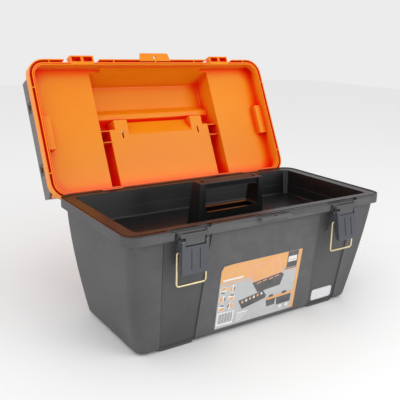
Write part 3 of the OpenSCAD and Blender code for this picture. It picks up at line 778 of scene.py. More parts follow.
@dataclass
class Tub:
    """The black tub with its rim, latch hoods, hinge knuckles, label and badge."""

    shop: Workshop
    rim_x: float = 250.0
    rim_y: float = 123.0
    rim_r: float = 22.0
    top_x: float = 241.0
    top_y: float = 115.5
    base_x: float = 215.5
    base_y: float = 91.5
    skirt: float = 15.0
    lip: float = 2.5
    wall: float = 2.5
    foot: float = 3.0
    base_round: float = 5.0
    corner: float = 15.0
    bulge: float = 1.6
    panel_in: tuple[float, float] = (118.0, 108.0)
    panel_out: tuple[float, float] = (181.0, 190.0)
    panel_sunk: float = 2.2
    panel_low: float = 3.5
    seam: float = 1.4
    seam_sunk: float = 1.6
    hinge_x: float = 150.0
    hinge_bore: float = 2.05
    hood_half: float = 22.6
    hood_drop: float = 4.5
    hood_out: float = 11.0
    ear_x: float = 17.5
    ear_r: float = 4.2
    foot_at: tuple[float, float] = (149.5, 78.0)
    padlock_r: float = 3.0
    top: float = field(init=False)
    levels: int = 14

    def __post_init__(self) -> None:
        """Read the rim's height from the frame."""
        self.top = self.shop.box("tub")[1][2]

    @property
    def draft(self) -> float:
        """Lean of the front wall, in radians."""
        return math.atan((self.top_y - self.base_y) / (self.wall_top - self.foot))

    @property
    def wall_top(self) -> float:
        """Height at which the wall meets the rim."""
        return self.top - self.skirt

    def _half(self, t: float, inset: float) -> tuple[float, float]:
        """Half length and half depth of the body at a share of its height."""
        x = self.base_x + (self.top_x - self.base_x) * (1 - (1 - t) ** self.bulge)
        y = self.base_y + (self.top_y - self.base_y) * t
        return x - inset, y - inset

    def _body(self, inset: float, low: float, base_round: float, top: float) -> bpy.types.Mesh:
        """Tapered body whose ends bulge.

        Args:
            inset: How far inside the outer skin it lies.
            low: Height of its underside.
            base_round: Radius where the walls meet the floor.
            top: Height of its top.

        Returns:
            The mesh.
        """
        rings = []
        span = self.wall_top - self.foot
        for step in range(5):
            turn = math.radians(90 * step / 4)
            z = low + base_round * (1 - math.cos(turn))
            x, y = self._half((z - self.foot) / span, inset + base_round * (1 - math.sin(turn)))
            rings.append(even_ring(z, x, y, self.corner - inset))
        for step in range(1, self.levels + 1):
            z = low + base_round + (self.wall_top - low - base_round) * step / self.levels
            x, y = self._half((z - self.foot) / span, inset)
            rings.append(even_ring(z, x, y, self.corner - inset))
        x, y = self._half(1.0, inset)
        rings.append(even_ring(top, x, y, self.corner - inset))
        return Solids.loft(rings, arc=10)

    def front_wall(self) -> Matrix:
        """Return the matrix from wall coordinates (across, up, outwards) to the frame."""
        place = Matrix.Translation(Vector((0, -self.base_y, self.foot)) * MM)
        return place @ Matrix.Rotation(math.pi / 2 + self.draft, 4, "X")

    def _panel(self, side: int, grow: float, sunk: float, soft: float) -> bpy.types.Mesh:
        """Solid that sinks or backs one panel behind a latch.

        Args:
            side: -1 for the left, 1 for the right.
            grow: How much wider it is than the panel.
            sunk: How far it reaches under the wall's skin.
            soft: Radius of its edges.

        Returns:
            The mesh, on the front wall.
        """
        low, high = self.panel_low, (self.wall_top - self.foot) / math.cos(self.draft) + 3
        outline = [(side * (self.panel_in[0] - grow), low), (side * (self.panel_out[0] + grow), low),
                   (side * (self.panel_out[1] + grow), high), (side * (self.panel_in[1] - grow), high)]
        return turned(Solids.prism(Axis.Z, outline, -sunk, 12.0, soft), self.front_wall())

    def _seam(self, side: int) -> bpy.types.Mesh:
        """Fine groove down the left edge of one sunken panel.

        Args:
            side: -1 for the left panel, 1 for the right.

        Returns:
            The mesh, on the front wall.
        """
        base, top = (-self.panel_out[0], -self.panel_out[1]) if side < 0 else self.panel_in
        outline = [(base, self.panel_low), (base + self.seam, self.panel_low), (top + self.seam, self.top),
                   (top, self.top)]
        solid = Solids.prism(Axis.Z, outline, -self.panel_sunk - self.seam_sunk, 0.0, 0.0)
        return turned(solid, self.front_wall())

    def _hood(self, x: float) -> list[bpy.types.Mesh]:
        """Hood, tab and ribs round one latch.

        Args:
            x: The latch's middle.

        Returns:
            Solids to join on.
        """
        _, pivot_y, pivot_z = self.shop.pivot("lever_right")
        front, top, half = -(self.rim_y + self.hood_out), self.top - self.hood_drop, self.hood_half
        cheek, rear = pivot_z + 7.8, -self.rim_y + 1
        parts = [
            Solids.span(about(x, half), (front, front + 2.5), (cheek, top), 0.8),
            Solids.span(about(x, 16), (front, front + 2.5), (self.top - 21.4, top), 0.9),
            Solids.span(about(x, half), (-self.rim_y - 3, rear), (top - 3, top), 0.5),
        ]
        for s in (-1, 1):
            parts.append(Solids.span(about(x + s * (half - 1), 1), (front, rear), (cheek, top), 0.6))
            web = [(pivot_y, pivot_z + self.ear_r), (-self.rim_y + 2, pivot_z + 8),
                   (-self.top_y + 1.5, self.wall_top), (-self.top_y + 6, self.top - 58),
                   (pivot_y, pivot_z - self.ear_r)]
            mid = x + s * self.ear_x
            parts.append(Solids.prism(Axis.X, web, *about(mid, 1), 0.35))
            parts.append(Solids.rod(Axis.X, (mid, pivot_y, pivot_z), self.ear_r, 2.0, 0.3))
        return parts

    def _openings(self, x: float) -> list[bpy.types.Mesh]:
        """Slots that the wires of one latch pass through."""
        rim, over = -self.rim_y, self.top + 2
        cuts = [Solids.span(about(x, 34), (rim - 0.9, rim + 5.5), (self.top - self.hood_drop, over), 0.5)]
        for s in (-1, 1):
            reach = sorted((x + s * 22.8, x + s * 27.0))
            cuts.append(Solids.span(reach, (rim - 1, rim + 4.2), (self.wall_top - 1, over), 0.4))
        return cuts

    def build(self) -> None:
        """Make the tub and what is fixed to it."""
        top, lip, low = self.top, self.lip, self.wall_top
        hinge, latch_x = self.shop.pivot("lid_hinge"), self.shop.pivot("lever_right")[0]
        backed = Carving(self._body(self.wall, self.foot + self.wall, 4.0, self.wall_top + 3))
        tub = Carving(self._body(0.0, self.foot, self.base_round, self.wall_top + 1))
        for s in (-1, 1):
            tub.cut(self._panel(s, 0.0, self.panel_sunk, 0.5))
            backed.cut(self._panel(s, self.wall, self.panel_sunk + self.wall, 0.3))
            tub.cut(self._seam(s))
        tub.cut(backed.done())
        rim = Carving(Solids.plate(self.rim_x, self.rim_y, self.rim_r, low, top, 1.1, arc=10))
        rim.cut(
            Solids.hoop((self.rim_x - lip, self.rim_y - lip, self.rim_r - lip),
                        (self.top_x, self.top_y, self.corner), low - 2, top - 7.5, 0.5),
            Solids.hoop((self.rim_x - 1.6, self.rim_y - 2.3, self.rim_r - 2),
                        (self.rim_x - 3, self.rim_y - 5.5, self.rim_r - 4), top - 5, top + 2, 0.4),
            Solids.plate(self.top_x - self.wall, self.top_y - self.wall, self.corner - self.wall,
                         low - 2, top + 2, 0.0, arc=10),
            Solids.plate(self.rim_x - 4, self.rim_y - 7.8, self.rim_r - 5, top - 3.5, top + 2, 0.3, arc=10))
        tub.add(rim.done())
        tub.add(Solids.plate(196, 72, 12, 0, self.foot + 1, 0.6))
        for s in (-1, 1):
            foot_x, hinge_x = s * self.foot_at[0], s * self.hinge_x
            for y in (-self.foot_at[1], self.foot_at[1]):
                tub.add(Solids.loft([Ring(0, *about(foot_x, 30), *about(y, 11.5), 4),
                                     Ring(self.foot + 1, *about(foot_x, 31), *about(y, 12), 4)], soft=0.6))
            tub.add(*self._hood(s * latch_x))
            for k in (-1, 1):
                tub.add(Solids.rod(Axis.X, (hinge_x + k * 25, hinge[1], hinge[2]), 4.5, 10, 0.6))
            for y in (-60, 0, 60):
                tub.add(Solids.span(about(s * 244, 4), about(y, 1), (low, top - 7), 0.3))
        tub.add(Solids.span((-30, 30), (-self.rim_y - 9, -self.rim_y + 1), (top - 8, top - 3.5), 1.0))
        tub.cut(Solids.rod(Axis.Z, (0, -self.rim_y - 4.5, top - 5), self.padlock_r, 30))
        for s in (-1, 1):
            hinge_x = s * self.hinge_x
            tub.cut(*self._openings(s * latch_x))
            tub.cut(Solids.rod(Axis.X, (hinge_x, hinge[1], hinge[2]), self.hinge_bore, 80))
            tub.cut(Solids.span(about(hinge_x, 20), (self.rim_y - 4.5, self.rim_y + 9), (low - 1, top + 1)))
        self.shop.add("tub_moulding", shaded(tub.done()), "tub", "tub_black", ["tub"])
        self._small_parts()

    def _small_parts(self) -> None:
        """Dress the pins, and make the label and the badge."""
        for node in ("latch_pin_left", "latch_pin_right", "lid_hinge_pin_left", "lid_hinge_pin_right"):
            self.shop.finish_node(node, "pin_steel")
        Label(self.shop, self.front_wall()).build()
        outline = [(x + 150, z + 19) for x, z, _ in even_ring(0, 24, 10.5, 4).points(6)]
        badge = Carving(Solids.prism(Axis.Z, outline, 0.02 - self.panel_sunk, 1.0 - self.panel_sunk, 0.35))
        self.shop.add("badge", shaded(turned(badge.done(), self.front_wall())), "tub", "badge_pearl",
                      ["badge_plate"])


# ---------------------------------------------------------------- label


class Ink(Enum):
    """Colours printed on the label, by finish."""

    SHEET = "print_grey"
    ORANGE = "print_orange"
    PALE = "print_pale"
    DARK = "print_dark"
    WHITE = "print_white"


@dataclass
class Label:
    """The paper label: a sheet with plain flat pictures and panels, and no lettering."""

    shop: Workshop
    wall: Matrix
    half: float = 82.0
    low: float = 9.0
    high: float = 121.0
    sheet: float = 0.32
    ink: float = 0.05
    printed: dict[Ink, list[bpy.types.Mesh]] = field(default_factory=dict)

    def _print(self, ink: Ink, level: int, outline: Outline) -> None:
        """Print one flat shape.

        Args:
            ink: Its colour.
            level: How many other inks can lie under it.
            outline: Its corners, across and up the wall.
        """
        base = self.sheet + 0.02 + level * (self.ink + 0.02)
        solid = Solids.prism(Axis.Z, outline, base, base + self.ink, 0.0)
        self.printed.setdefault(ink, []).append(turned(solid, self.wall))

    def _box(self, ink: Ink, level: int, x0: float, x1: float, z0: float, z1: float) -> None:
        """Print one upright rectangle."""
        self._print(ink, level, [(x0, z0), (x1, z0), (x1, z1), (x0, z1)])

    def _disc(self, ink: Ink, level: int, x: float, z: float, radius: float, start: float = 0.0,
              sweep: float = 360.0) -> None:
        """Print a disc or a part of one.

        Args:
            ink: Its colour.
            level: Its level.
            x: Its middle, across.
            z: Its middle, up.
            radius: Its radius.
            start: Angle at which it starts, in degrees.
            sweep: How far round it goes, in degrees.
        """
        turns = [math.radians(start + sweep * k / 24) for k in range(24 if sweep >= 360 else 25)]
        self._print(ink, level, [(x + radius * math.cos(a), z + radius * math.sin(a)) for a in turns])

    def _bands(self) -> None:
        """Print the coloured bands, stripe and corner square."""
        self._print(Ink.ORANGE, 0, [(-81.9, 90.5), (75.5, 90.5), (75.5, 9.1), (81.9, 9.1), (81.9, 120.9),
                                    (-60.0, 120.9), (-78.0, 119.6), (-81.9, 112.0)])
        self._box(Ink.ORANGE, 0, -81.9, 75.5, 86.0, 87.6)
        self._box(Ink.DARK, 1, 51.5, 74.0, 90.8, 120.8)
        self._box(Ink.WHITE, 2, 53.5, 72.0, 101.5, 111.5)
        self._box(Ink.ORANGE, 3, 56.0, 69.5, 104.2, 105.6)
        self._box(Ink.DARK, 1, 49.0, 74.0, 88.2, 89.6)

    def _pictures(self) -> None:
        """Print a generic open toolbox, its tray and two closed boxes."""
        self._print(Ink.PALE, 1, [(-24.8, 109.0), (33.5, 115.5), (43.0, 85.0), (-17.3, 78.5)])
        self._print(Ink.ORANGE, 2, [(-21.5, 106.5), (30.5, 112.5), (39.0, 86.8), (-14.8, 81.0)])
        for low, high in (((-5.8, 84.0), (-8.2, 107.5)), ((21.4, 87.1), (17.8, 109.5))):
            self._print(Ink.PALE, 3, [low, (low[0] + 1.6, low[1] + 0.2),
                                      (high[0] + 1.6, high[1] + 0.2), high])
        self._print(Ink.DARK, 1, [(-17.3, 78.4), (42.8, 84.9), (48.6, 80.1), (43.1, 61.5), (-3.5, 57.9),
                                  (-9.6, 66.6)])
        for x, z in ((-8.0, 75.5), (4.0, 77.5), (17.0, 78.2), (29.0, 80.2)):
            self._print(Ink.ORANGE, 2, [(x, z - 1.6), (x + 8.5, z + 0.4), (x + 9.5, z + 2.2),
                                        (x + 1.0, z + 0.6)])
        self._print(Ink.DARK, 1, [(-41.2, 51.3), (7.9, 58.9), (16.5, 47.9), (14.3, 43.2), (-31.8, 34.1)])
        for k in range(6):
            x, z = -34.0 + 7.6 * k, 47.6 + 1.35 * k
            ink = Ink.WHITE if k % 2 else Ink.ORANGE
            self._print(ink, 2, [(x, z - 3), (x + 3.6, z - 2.2), (x + 2.8, z + 2.2), (x - 0.6, z + 1.4)])
        for x0, x1, z0, z1 in ((16.5, 38.0, 25.0, 43.8), (38.6, 73.0, 23.2, 44.4)):
            self._print(Ink.DARK, 1, [(x0 + 4, z0), (x1 - 0.5, z0 + 0.8), (x1, z1), (x0, z1 - 1.4)])
            self._print(Ink.ORANGE, 2, [(x0 + 1, z1 - 6.4), (x1, z1 - 5.2), (x1, z1), (x0, z1 - 1.4)])
            mid = (x0 + x1) / 2
            self._print(Ink.DARK, 3, [(mid - 5, z1 - 2), (mid + 5, z1 - 1.4), (mid + 4, z1 + 3),
                                      (mid - 4, z1 + 2.4)])

    def _icons(self) -> None:
        """Print the round icons, the striped panel and the plain text lines."""
        for row, z in enumerate((77.4, 62.0, 46.2)):
            for column, x in enumerate((-73.3, -56.6)):
                self._disc(Ink.WHITE, 0, x, z, 6.4)
                self._disc(Ink.ORANGE, 1, x, z, 5.6, 90 * (row + column), 180)
                self._disc(Ink.DARK, 1, x, z, 5.6, 200 + 90 * (row + column), 120)
        self._print(Ink.WHITE, 0, [(-80.5, 38.3), (-47.0, 36.4), (-48.0, 12.6), (-80.5, 13.8)])
        for k in range(15):
            x = -77.5 + 1.85 * k
            self._box(Ink.DARK, 1, x, x + (1.0 if k % 3 else 0.55), 17.5, 34.8)
        for k, x1 in enumerate((-19.5, -21.0, -23.5, -27.0, -31.0)):
            low, thick = 27.0 - 3.2 * k, 1.0 if k else 2.4
            self._box(Ink.WHITE, 0, -41.5, x1, low, low + thick)
        self._box(Ink.WHITE, 1, -77.0, -38.0, 93.2, 96.4)
        for x in (52.1, 66.2):
            self._disc(Ink.WHITE, 0, x, 18.4, 3.2)

    def build(self) -> None:
        """Make the sheet and everything printed on it."""
        sheet = Solids.prism(Axis.Z, [(-self.half, self.low), (self.half, self.low), (self.half, self.high),
                                      (-60, self.high), (-78, 119.8), (-self.half, 112.2)],
                             0.02, self.sheet, 0.0)
        self.shop.add("label_sheet", turned(sheet, self.wall), "tub", Ink.SHEET.value, ["front_label"])
        self._bands()
        self._pictures()
        self._icons()
        for ink, solids in self.printed.items():
            self.shop.add("label_" + ink.name.lower(), joined(solids), "tub", ink.value)


# ---------------------------------------------------------------- tray


@dataclass
class Tray:
    """The black lift-out tray with its hollow handle tower."""

    shop: Workshop
    open_x: float = 228.0
    open_y: float = 104.5
    floor_x: float = 222.0
    floor_y: float = 94.0
    depth: float = 45.0
    step: float = 27.0
    flange_x: float = 245.4
    flange_y: float = 114.6
    flange_r: float = 16.4
    wall: float = 2.0
    tower_x: float = 64.0
    tower_front: float = -17.5
    tower_back: float = 9.0
    window_x: float = 54.5
    top: float = 199.1

    def _basin(self, grow: float, low: float, high: float, base_round: float) -> bpy.types.Mesh:
        """Tapered basin between two heights.

        Args:
            grow: How far outside the inner skin it lies.
            low: Its lowest level.
            high: Its highest level.
            base_round: Radius where its walls meet its floor.

        Returns:
            The mesh.
        """
        def at(z: float, extra: float) -> Ring:
            """Level of the basin at one height."""
            share = (self.top - z) / self.depth
            return even_ring(z, self.open_x + (self.floor_x - self.open_x) * share + extra,
                             self.open_y + (self.floor_y - self.open_y) * share + extra, 9 + extra)

        rings = []
        for k in range(4):
            turn = math.radians(90 * k / 3)
            z = low + base_round * (1 - math.cos(turn))
            rings.append(at(z, grow - base_round * (1 - math.sin(turn))))
        rings.append(at(high, grow))
        return Solids.loft(rings, arc=8)

    def _tower(self, inset: float, low: float, high: float, soft: float) -> bpy.types.Mesh:
        """Flared block of the handle tower, shrunk by inset."""
        base = self.top - self.depth
        share = (high - low) / (high - base)
        rings = [
            Ring(low, -self.tower_x - 3 * share + inset, self.tower_x + 3 * share - inset,
                 self.tower_front - 4 * share + inset, self.tower_back + 8 * share - inset, 3.0),
            Ring(high, -self.tower_x + inset, self.tower_x - inset, self.tower_front + inset,
                 self.tower_back - inset, 3.0)]
        return Solids.loft(rings, arc=4, soft=soft)

    def build(self) -> None:
        """Make the tray."""
        top, floor = self.top, self.top - self.depth
        crest = self.shop.box("tray")[1][2]
        sill = top + 0.9 - 19.5
        tray = Carving(Solids.plate(self.flange_x, self.flange_y, self.flange_r, top - 2.4, top, 0.7, arc=10))
        tray.add(self._basin(self.wall, floor - self.wall, top - 0.6, 4.0))
        tray.cut(self._basin(0.0, top - self.step, top + 3, 0.6),
                 self._basin(-1.3, floor, top - self.step + 1, 3.0))
        tray.add(self._tower(0.0, floor - 1, crest, 1.4))
        tray.cut(self._tower(2.2, floor - 4, sill, 0.3))
        right = [(49, sill), (52.8, sill + 1.6), (self.window_x, sill + 5.5), (self.window_x, crest - 13.5),
                 (52.8, crest - 11.3), (49, crest - 10.5)]
        left = [(-x, z) for x, z in reversed(right)]
        tray.cut(Solids.prism(Axis.Y, [left[-1], *right, *left[:-1]], -40, 40, 0.0))
        for reach in ((self.tower_front - 6, self.tower_front + 2.8),
                      (self.tower_back - 2.4, self.tower_back + 6)):
            tray.cut(Solids.span(about(0, self.window_x), reach, (crest - 11, crest - 1.4), 1.0))
        for s in (-1, 1):
            tray.cut(Solids.span(about(s * 52, 2.2), (-9, 1.5), (crest - 2.5, crest + 2), 0.4))
        for y in (-10.5, -4.25, 2.0):
            tray.add(Solids.span((-47, 47), about(y, 1.0), (crest - 1.5, crest + 0.35), 0.4))
        self.shop.add("tray_moulding", shaded(tray.done()), "tray", "tray_black", ["tray"])


# ---------------------------------------------------------------- latches


class Side(Enum):
    """Which half of the toolbox a piece belongs to."""

    LEFT = -1
    RIGHT = 1

    @property
    def word(self) -> str:
        """The side's name in lower case."""
        return self.name.lower()


@dataclass
class Latch:
    """One latch: the lever on its pin and the wire bail that hooks over the lid."""

    shop: Workshop
    side: Side
    half: float = 22.5
    front: float = -135.2
    foot: float = 136.0
    tab_foot: float = 178.6
    wire: float = 1.5
    reach: float = 50.0
    bend: float = 4.5
    eye: float = 1.9
    cheek_x: float = 21.5

    def build(self) -> None:
        """Make the lever and the bail."""
        word = self.side.word
        joint = self.shop.joints["lever_" + word]
        pivot = self.shop.pivot("lever_" + word)
        tilt = math.radians(joint["range_deg"][1])
        place = Matrix.Translation(Vector(joint["pos_m"]))
        turn = place @ Matrix.Rotation(-tilt, 4, "X") @ place.inverted()
        self.shop.add("lever_" + word, shaded(turned(self._lever(pivot), turn)), "lever_" + word,
                      "lever_slate", ["latch_lever_" + word])
        self.shop.add("bail_" + word, shaded(self._bail(), 50.0), "bail_" + word, "wire_gold",
                      ["latch_bail_" + word])

    def _lever(self, pivot: Point) -> bpy.types.Mesh:
        """Lever in its closed place.

        Args:
            pivot: The lever pin's middle.

        Returns:
            The mesh.
        """
        x, y, z = pivot
        half, front, foot = self.half, self.front, self.foot
        bail_y, bail_z = y + 3, z - 15
        lever = Carving(Solids.prism(Axis.X, [
            (front, foot), (front + 2.5, foot), (front + 2.5, self.tab_foot - 3.6),
            (front, self.tab_foot - 0.7)], *about(x, half), 0.55, 3))
        for s in (-1, 1):
            ear0, ear1 = sorted((x + s * 16.8, x + s * half))
            lever.add(Solids.prism(Axis.X, [
                (front, self.tab_foot - 3), (front + 2.2, self.tab_foot - 3), (front + 2.2, z + 3),
                (front + 0.6, z + 3), (front, z + 1)], ear0, ear1, 0.4))
            cheek = [(front, foot), (front + 7, foot + 2), (front + 9, bail_z - 12),
                     (bail_y + 4, bail_z - 2), (bail_y + 4, bail_z + 4), (y + 4.7, z - 3), (y, z), (front, z)]
            mid = x + s * self.cheek_x
            lever.add(Solids.prism(Axis.X, cheek, *about(mid, 1), 0.35),
                      Solids.rod(Axis.X, (mid, y, z), 4.7, 2.0, 0.35),
                      Solids.rod(Axis.X, (mid, bail_y, bail_z), 4.0, 2.0, 0.35))
        for s in (-1, 1):
            lever.cut(Solids.prism(Axis.X, [
                (front - 0.6, foot + 8), (front + 1, foot + 6), (front + 1, self.tab_foot - 5),
                (front - 0.6, self.tab_foot - 7)], *about(x + s * 7, 0.8), 0.25))
        lever.cut(Solids.rod(Axis.X, (x, y, z), 1.55, 60), Solids.rod(Axis.X, (x, bail_y, bail_z), 1.56, 60))
        for rise in (12, 26):
            rib = (foot + rise, foot + rise + 1.6)
            lever.add(Solids.span(about(x, half - 1), (front + 2, front + 4), rib, 0.3))
        return lever.done()

    def _bail(self) -> bpy.types.Mesh:
        """Wire loop hanging from the lever."""
        x, y, z = self.shop.pivot("bail_" + self.side.word)
        half, end = self.half + 2.2, self.half - 4.2
        path: list[Point] = [(x - end, y, z)]

        def bend(cx: float, cz: float, r: float, start: float, stop: float) -> None:
            """Carry the path round one bend, given in degrees."""
            for k in range(9):
                a = math.radians(start + (stop - start) * k / 8)
                path.append((cx + r * math.cos(a), y, cz + r * math.sin(a)))

        bend(x - half + self.eye, z - self.eye, self.eye, 90, 180)
        bend(x - half + self.bend, z - self.reach + self.bend, self.bend, 180, 270)
        bend(x + half - self.bend, z - self.reach + self.bend, self.bend, 270, 360)
        bend(x + half - self.eye, z - self.eye, self.eye, 0, 90)
        path.append((x + end, y, z))
        return Solids.wire(path, self.wire)


# ---------------------------------------------------------------- lid


@dataclass
class Lid:
    """The orange lid, drawn closed and then turned back about its hinge."""

    shop: Workshop
    half_x: float = 251.5
    half_y: float = 123.5
    corner: float = 30.0
    edge: float = 15.0
    wall: float = 2.5
    slab: float = 26.0
    slab_x: float = 241.0
    slab_y: float = 115.4
    lip_y: float = 112.9
    hump: float = 74.5
    hump_x: float = 133.0
    groove: float = -30.0
    recess_x: float = 107.0
    recess: float = 36.0
    pad: float = 56.0
    ramp_end: float = 12.0
    ear_in: float = 72.5
    ear_out: float = 95.0
    finger_in: float = 227.0
    out_x: float = 246.0
    front_y: float = -93.5
    rear_y: float = 110.5
    cover_top: float = 46.5
    catch_top: float = 14.9
    sweep_out: float = 139.2
    sweep_low: float = 39.5
    ear_front: float = -15.5
    finger_front: float = -23.5
    finger_rear: float = 31.5
    over: float = 90.0
    hinge_x: float = 150.0
    cover_in: float = 135.5
    cover_x: float = 139.0
    cover_z: float = 43.5
    cover_lug: float = 76.0
    cover_pin: float = 88.0
    clip_x: float = 248.0
    clip_y: float = 55.5
    clip_z: float = 24.0
    rows: tuple[int, ...] = (-33, 0, 33)
    swing_y: float = 10.5
    swing_z: float = 44.3
    lug: tuple[float, float] = (3.5, 17.5)
    padlock_r: float = 3.0
    base: float = field(init=False)

    def __post_init__(self) -> None:
        """Set the height of the closed lid's edge above the rim."""
        self.base = self.shop.box("tub")[1][2] + 0.3

    @property
    def middle(self) -> float:
        """The organisers' middle, front to back."""
        return (self.front_y + self.rear_y) / 2

    def placed(self, mesh: bpy.types.Mesh) -> bpy.types.Mesh:
        """Carry a mesh drawn on the closed lid to where the lid rests."""
        return turned(mesh, self.shop.lid_turn() @ Matrix.Translation(Vector((0, 0, self.base * MM))))

    def _hump_outline(self, i: float) -> list[tuple[float, float]]:
        """Side view of the raised middle with its cutting groove, shrunk by i."""
        top, low, g = self.hump - i, self.pad + 1 - i, self.groove
        return [(-115 + i, 8), (-98.5 + i, top), (-47 - i / 2, top), (g - 5, low), (g + 5, low),
                (-17 + i / 2, top), (104 - i, top), (114 - i, 8)]

    def _form(self, i: float) -> Carving:
        """Whole lid without its openings.

        Args:
            i: How far it is shrunk on every side.

        Returns:
            A carving to go on with.
        """
        soft = 1.6 if i == 0 else 1.0
        form = Carving(Solids.plate(self.half_x - i, self.half_y - i, self.corner - i, 0 if i == 0 else -3,
                                    self.edge - i, soft, arc=12))
        for s in (-1, 1):
            reach = *outwards(s, self.recess_x + i, self.out_x - i), -self.slab_y + i, self.slab_y - i, 6
            form.add(Solids.loft([Ring(1, *reach), Ring(self.slab + self.wall - i, *reach)], soft=soft))
        form.add(Solids.prism(Axis.X, self._hump_outline(i), -self.hump_x + i, self.hump_x - i,
                              2.4 if i == 0 else 1.6, 3))
        front, low = self.ear_front - i, self.recess - i
        for s in (-1, 1):
            for outer, reach in ((self.recess_x, (2.5 - i, 150)), (self.ear_out, (front, 8))):
                form.cut(Solids.span(outwards(s, self.ear_in - i, outer + i), reach,
                                     (low, self.over), soft))
            form.cut(Solids.span(outwards(s, self.finger_in - i, 270),
                                 (self.finger_front - i, self.finger_rear + i),
                                 (self.edge - 0.5 - i, self.over), soft))
        fall = (self.pad - self.recess) / (self.ramp_end - self.ear_front)
        drop = i * math.hypot(1.0, fall)
        crest = self.pad + fall * i - drop
        foot = self.ramp_end + (i - drop) / fall
        ramp = [(front, self.over), (front, crest), (foot, low), (150, low), (150, self.over)]
        form.cut(Solids.prism(Axis.X, ramp, -self.ear_in - i, self.ear_in + i, soft))
        return form

    def _organiser(self, shell: Carving, s: int) -> None:
        """Join the walls of one organiser on to the outside.

        Args:
            shell: The lid so far.
            s: -1 for the left, 1 for the right.
        """
        top, y0, y1, finger = self.cover_top - 3, self.front_y, self.rear_y, self.finger_in
        x0, x1 = outwards(s, self.hump_x, self.out_x)
        walls = Carving(Solids.span((x0, x1), (y0, y1), (self.slab, top)))
        walls.cut(Solids.span((x0 + 2, x1 - 2), (y0 + 2, y1 - 2), (self.slab - 2, top + 2)),
                  Solids.span(outwards(s, finger, 270), (self.finger_front, self.finger_rear),
                              (0, self.over), 0.4),
                  Solids.span(outwards(s, self.hump_x - 1, self.sweep_out), (y0 - 1, y1 + 1),
                              (self.sweep_low, top + 2), 0.3))
        shell.add(walls.done())
        shell.add(Solids.span(outwards(s, finger - 2, finger),
                              (self.finger_front - 2, self.finger_rear + 2), (self.slab, top), 0.4))
        for y in (self.finger_front - 1, self.finger_rear + 1):
            shell.add(Solids.span(outwards(s, finger - 1, self.out_x), about(y, 1),
                                  (self.edge - 1, top), 0.4))
        for y in about(self.middle, self.cover_pin):
            shell.add(Solids.rod(Axis.Y, (s * self.cover_x, y, self.cover_z), 3.0, 6.0, 0.3),
                      Solids.span(about(s * (self.cover_x - 2.5), 2.5), about(y, 3), (top - 7, top), 0.3))

    def build(self) -> None:
        """Make the lid and everything on it."""
        edge = self.edge
        inner = self._form(self.wall)
        inner.cut(Solids.hoop((self.half_x + 5, self.half_y + 5, self.corner), (self.slab_x, self.lip_y, 20),
                              -6, edge - 1, 0.6, arc=12))
        shell = self._form(0.0)
        shell.cut(inner.done())
        for s in (-1, 1):
            self._organiser(shell, s)
            self._details(shell, s)
        shell.add(Solids.prism(Axis.Z, [(-34, -120), (34, -120), (30, -136), (-30, -136)], 0, 3, 0.9, 3))
        self._channel(shell)
        latch_x, hinge = self.shop.pivot("lever_right")[0], self.shop.pivot("lid_hinge")
        for s in (-1, 1):
            shell.cut(Solids.span(about(s * latch_x, 34), (-140, -118.4), (-1, self.over)),
                      Solids.span(about(s * (self.ear_in + self.ear_out) / 2, 1.5), self.lug, (20, 40), 0.3),
                      Solids.rod(Axis.X, (s * 84, self.swing_y, self.swing_z), 3.05, 34),
                      Solids.rod(Axis.Y, (s * self.cover_x, 0, self.cover_z), 1.56, 260),
                      Solids.rod(Axis.X, (s * self.hinge_x, hinge[1], hinge[2] - self.base), 2.06, 60))
        shell.cut(Solids.rod(Axis.Z, (0, -127.5, 1), self.padlock_r, 12))
        for s in (-1, 1):
            shell.add(self._catch(s * latch_x))
        self.shop.add("lid_moulding", self.placed(shaded(shell.done())), "lid", "lid_orange", ["lid_shell"])
        for side in Side:
            self._fittings(side)
        self._handle()

    def _details(self, shell: Carving, s: int) -> None:
        """Join ribs, handle lugs and hinge knuckles on to one half.

        Args:
            shell: The lid so far.
            s: -1 for the left, 1 for the right.
        """
        hinge = self.shop.pivot("lid_hinge")
        low, knuckle = hinge[2] - self.base, about(s * self.hinge_x, 19)
        for y in (2.5, 23.5):
            shell.add(Solids.span(outwards(s, 106, 134), about(y, 0.8),
                                  (self.recess - 3, self.hump - 1), 0.25))
        for x in (self.ear_in - 2.2, self.ear_out + 3):
            shell.add(Solids.span(about(s * x, 2), self.lug, (self.recess - 1, 45), 0.4),
                      Solids.rod(Axis.X, (s * x, self.swing_y, self.swing_z), 7.0, 4.0, 0.5))
        shell.add(Solids.rod(Axis.X, (s * self.hinge_x, hinge[1], low), 4.5, 38, 0.6),
                  Solids.span(knuckle, (hinge[1] - 3, hinge[1] + 4.5), (low, 4), 0.6),
                  Solids.span(knuckle, (self.half_y - 3, hinge[1] + 4.5), (0.2, 9), 0.6))

    def _channel(self, shell: Carving) -> None:
        """Cut the sealing channel and its fine groove round the edge."""
        cut = Carving(Solids.hoop((self.half_x - 2, self.half_y - 2, self.corner - 2),
                                  (self.half_x - 6.5, self.half_y - 6.1, self.corner - 7), -2, self.edge - 5,
                                  0.5, arc=12))
        for x in (-211, -88, 0, 88, 211):
            for y in (-1, 1):
                cut.cut(Solids.span(about(x, 0.9), about(y * 120, 6), (-4, self.edge), 0.2))
        for s in (-1, 1):
            for y in (-73, 77):
                cut.cut(Solids.span(about(s * 247, 6), about(y, 0.9), (-4, self.edge), 0.2))
            cut.cut(Solids.span(about(s * self.hinge_x, 26), (116, 130), (-4, self.edge), 0.2))
        cut.cut(Solids.block((-34, -136, -4), (34, -120, 3), 0.2))
        shell.cut(cut.done())
        shell.cut(Solids.hoop((self.half_x - 8.2, self.half_y - 7.9, self.corner - 9),
                              (self.half_x - 9.6, self.half_y - 9.3, self.corner - 10), -2, 1.2, 0.2, arc=12))

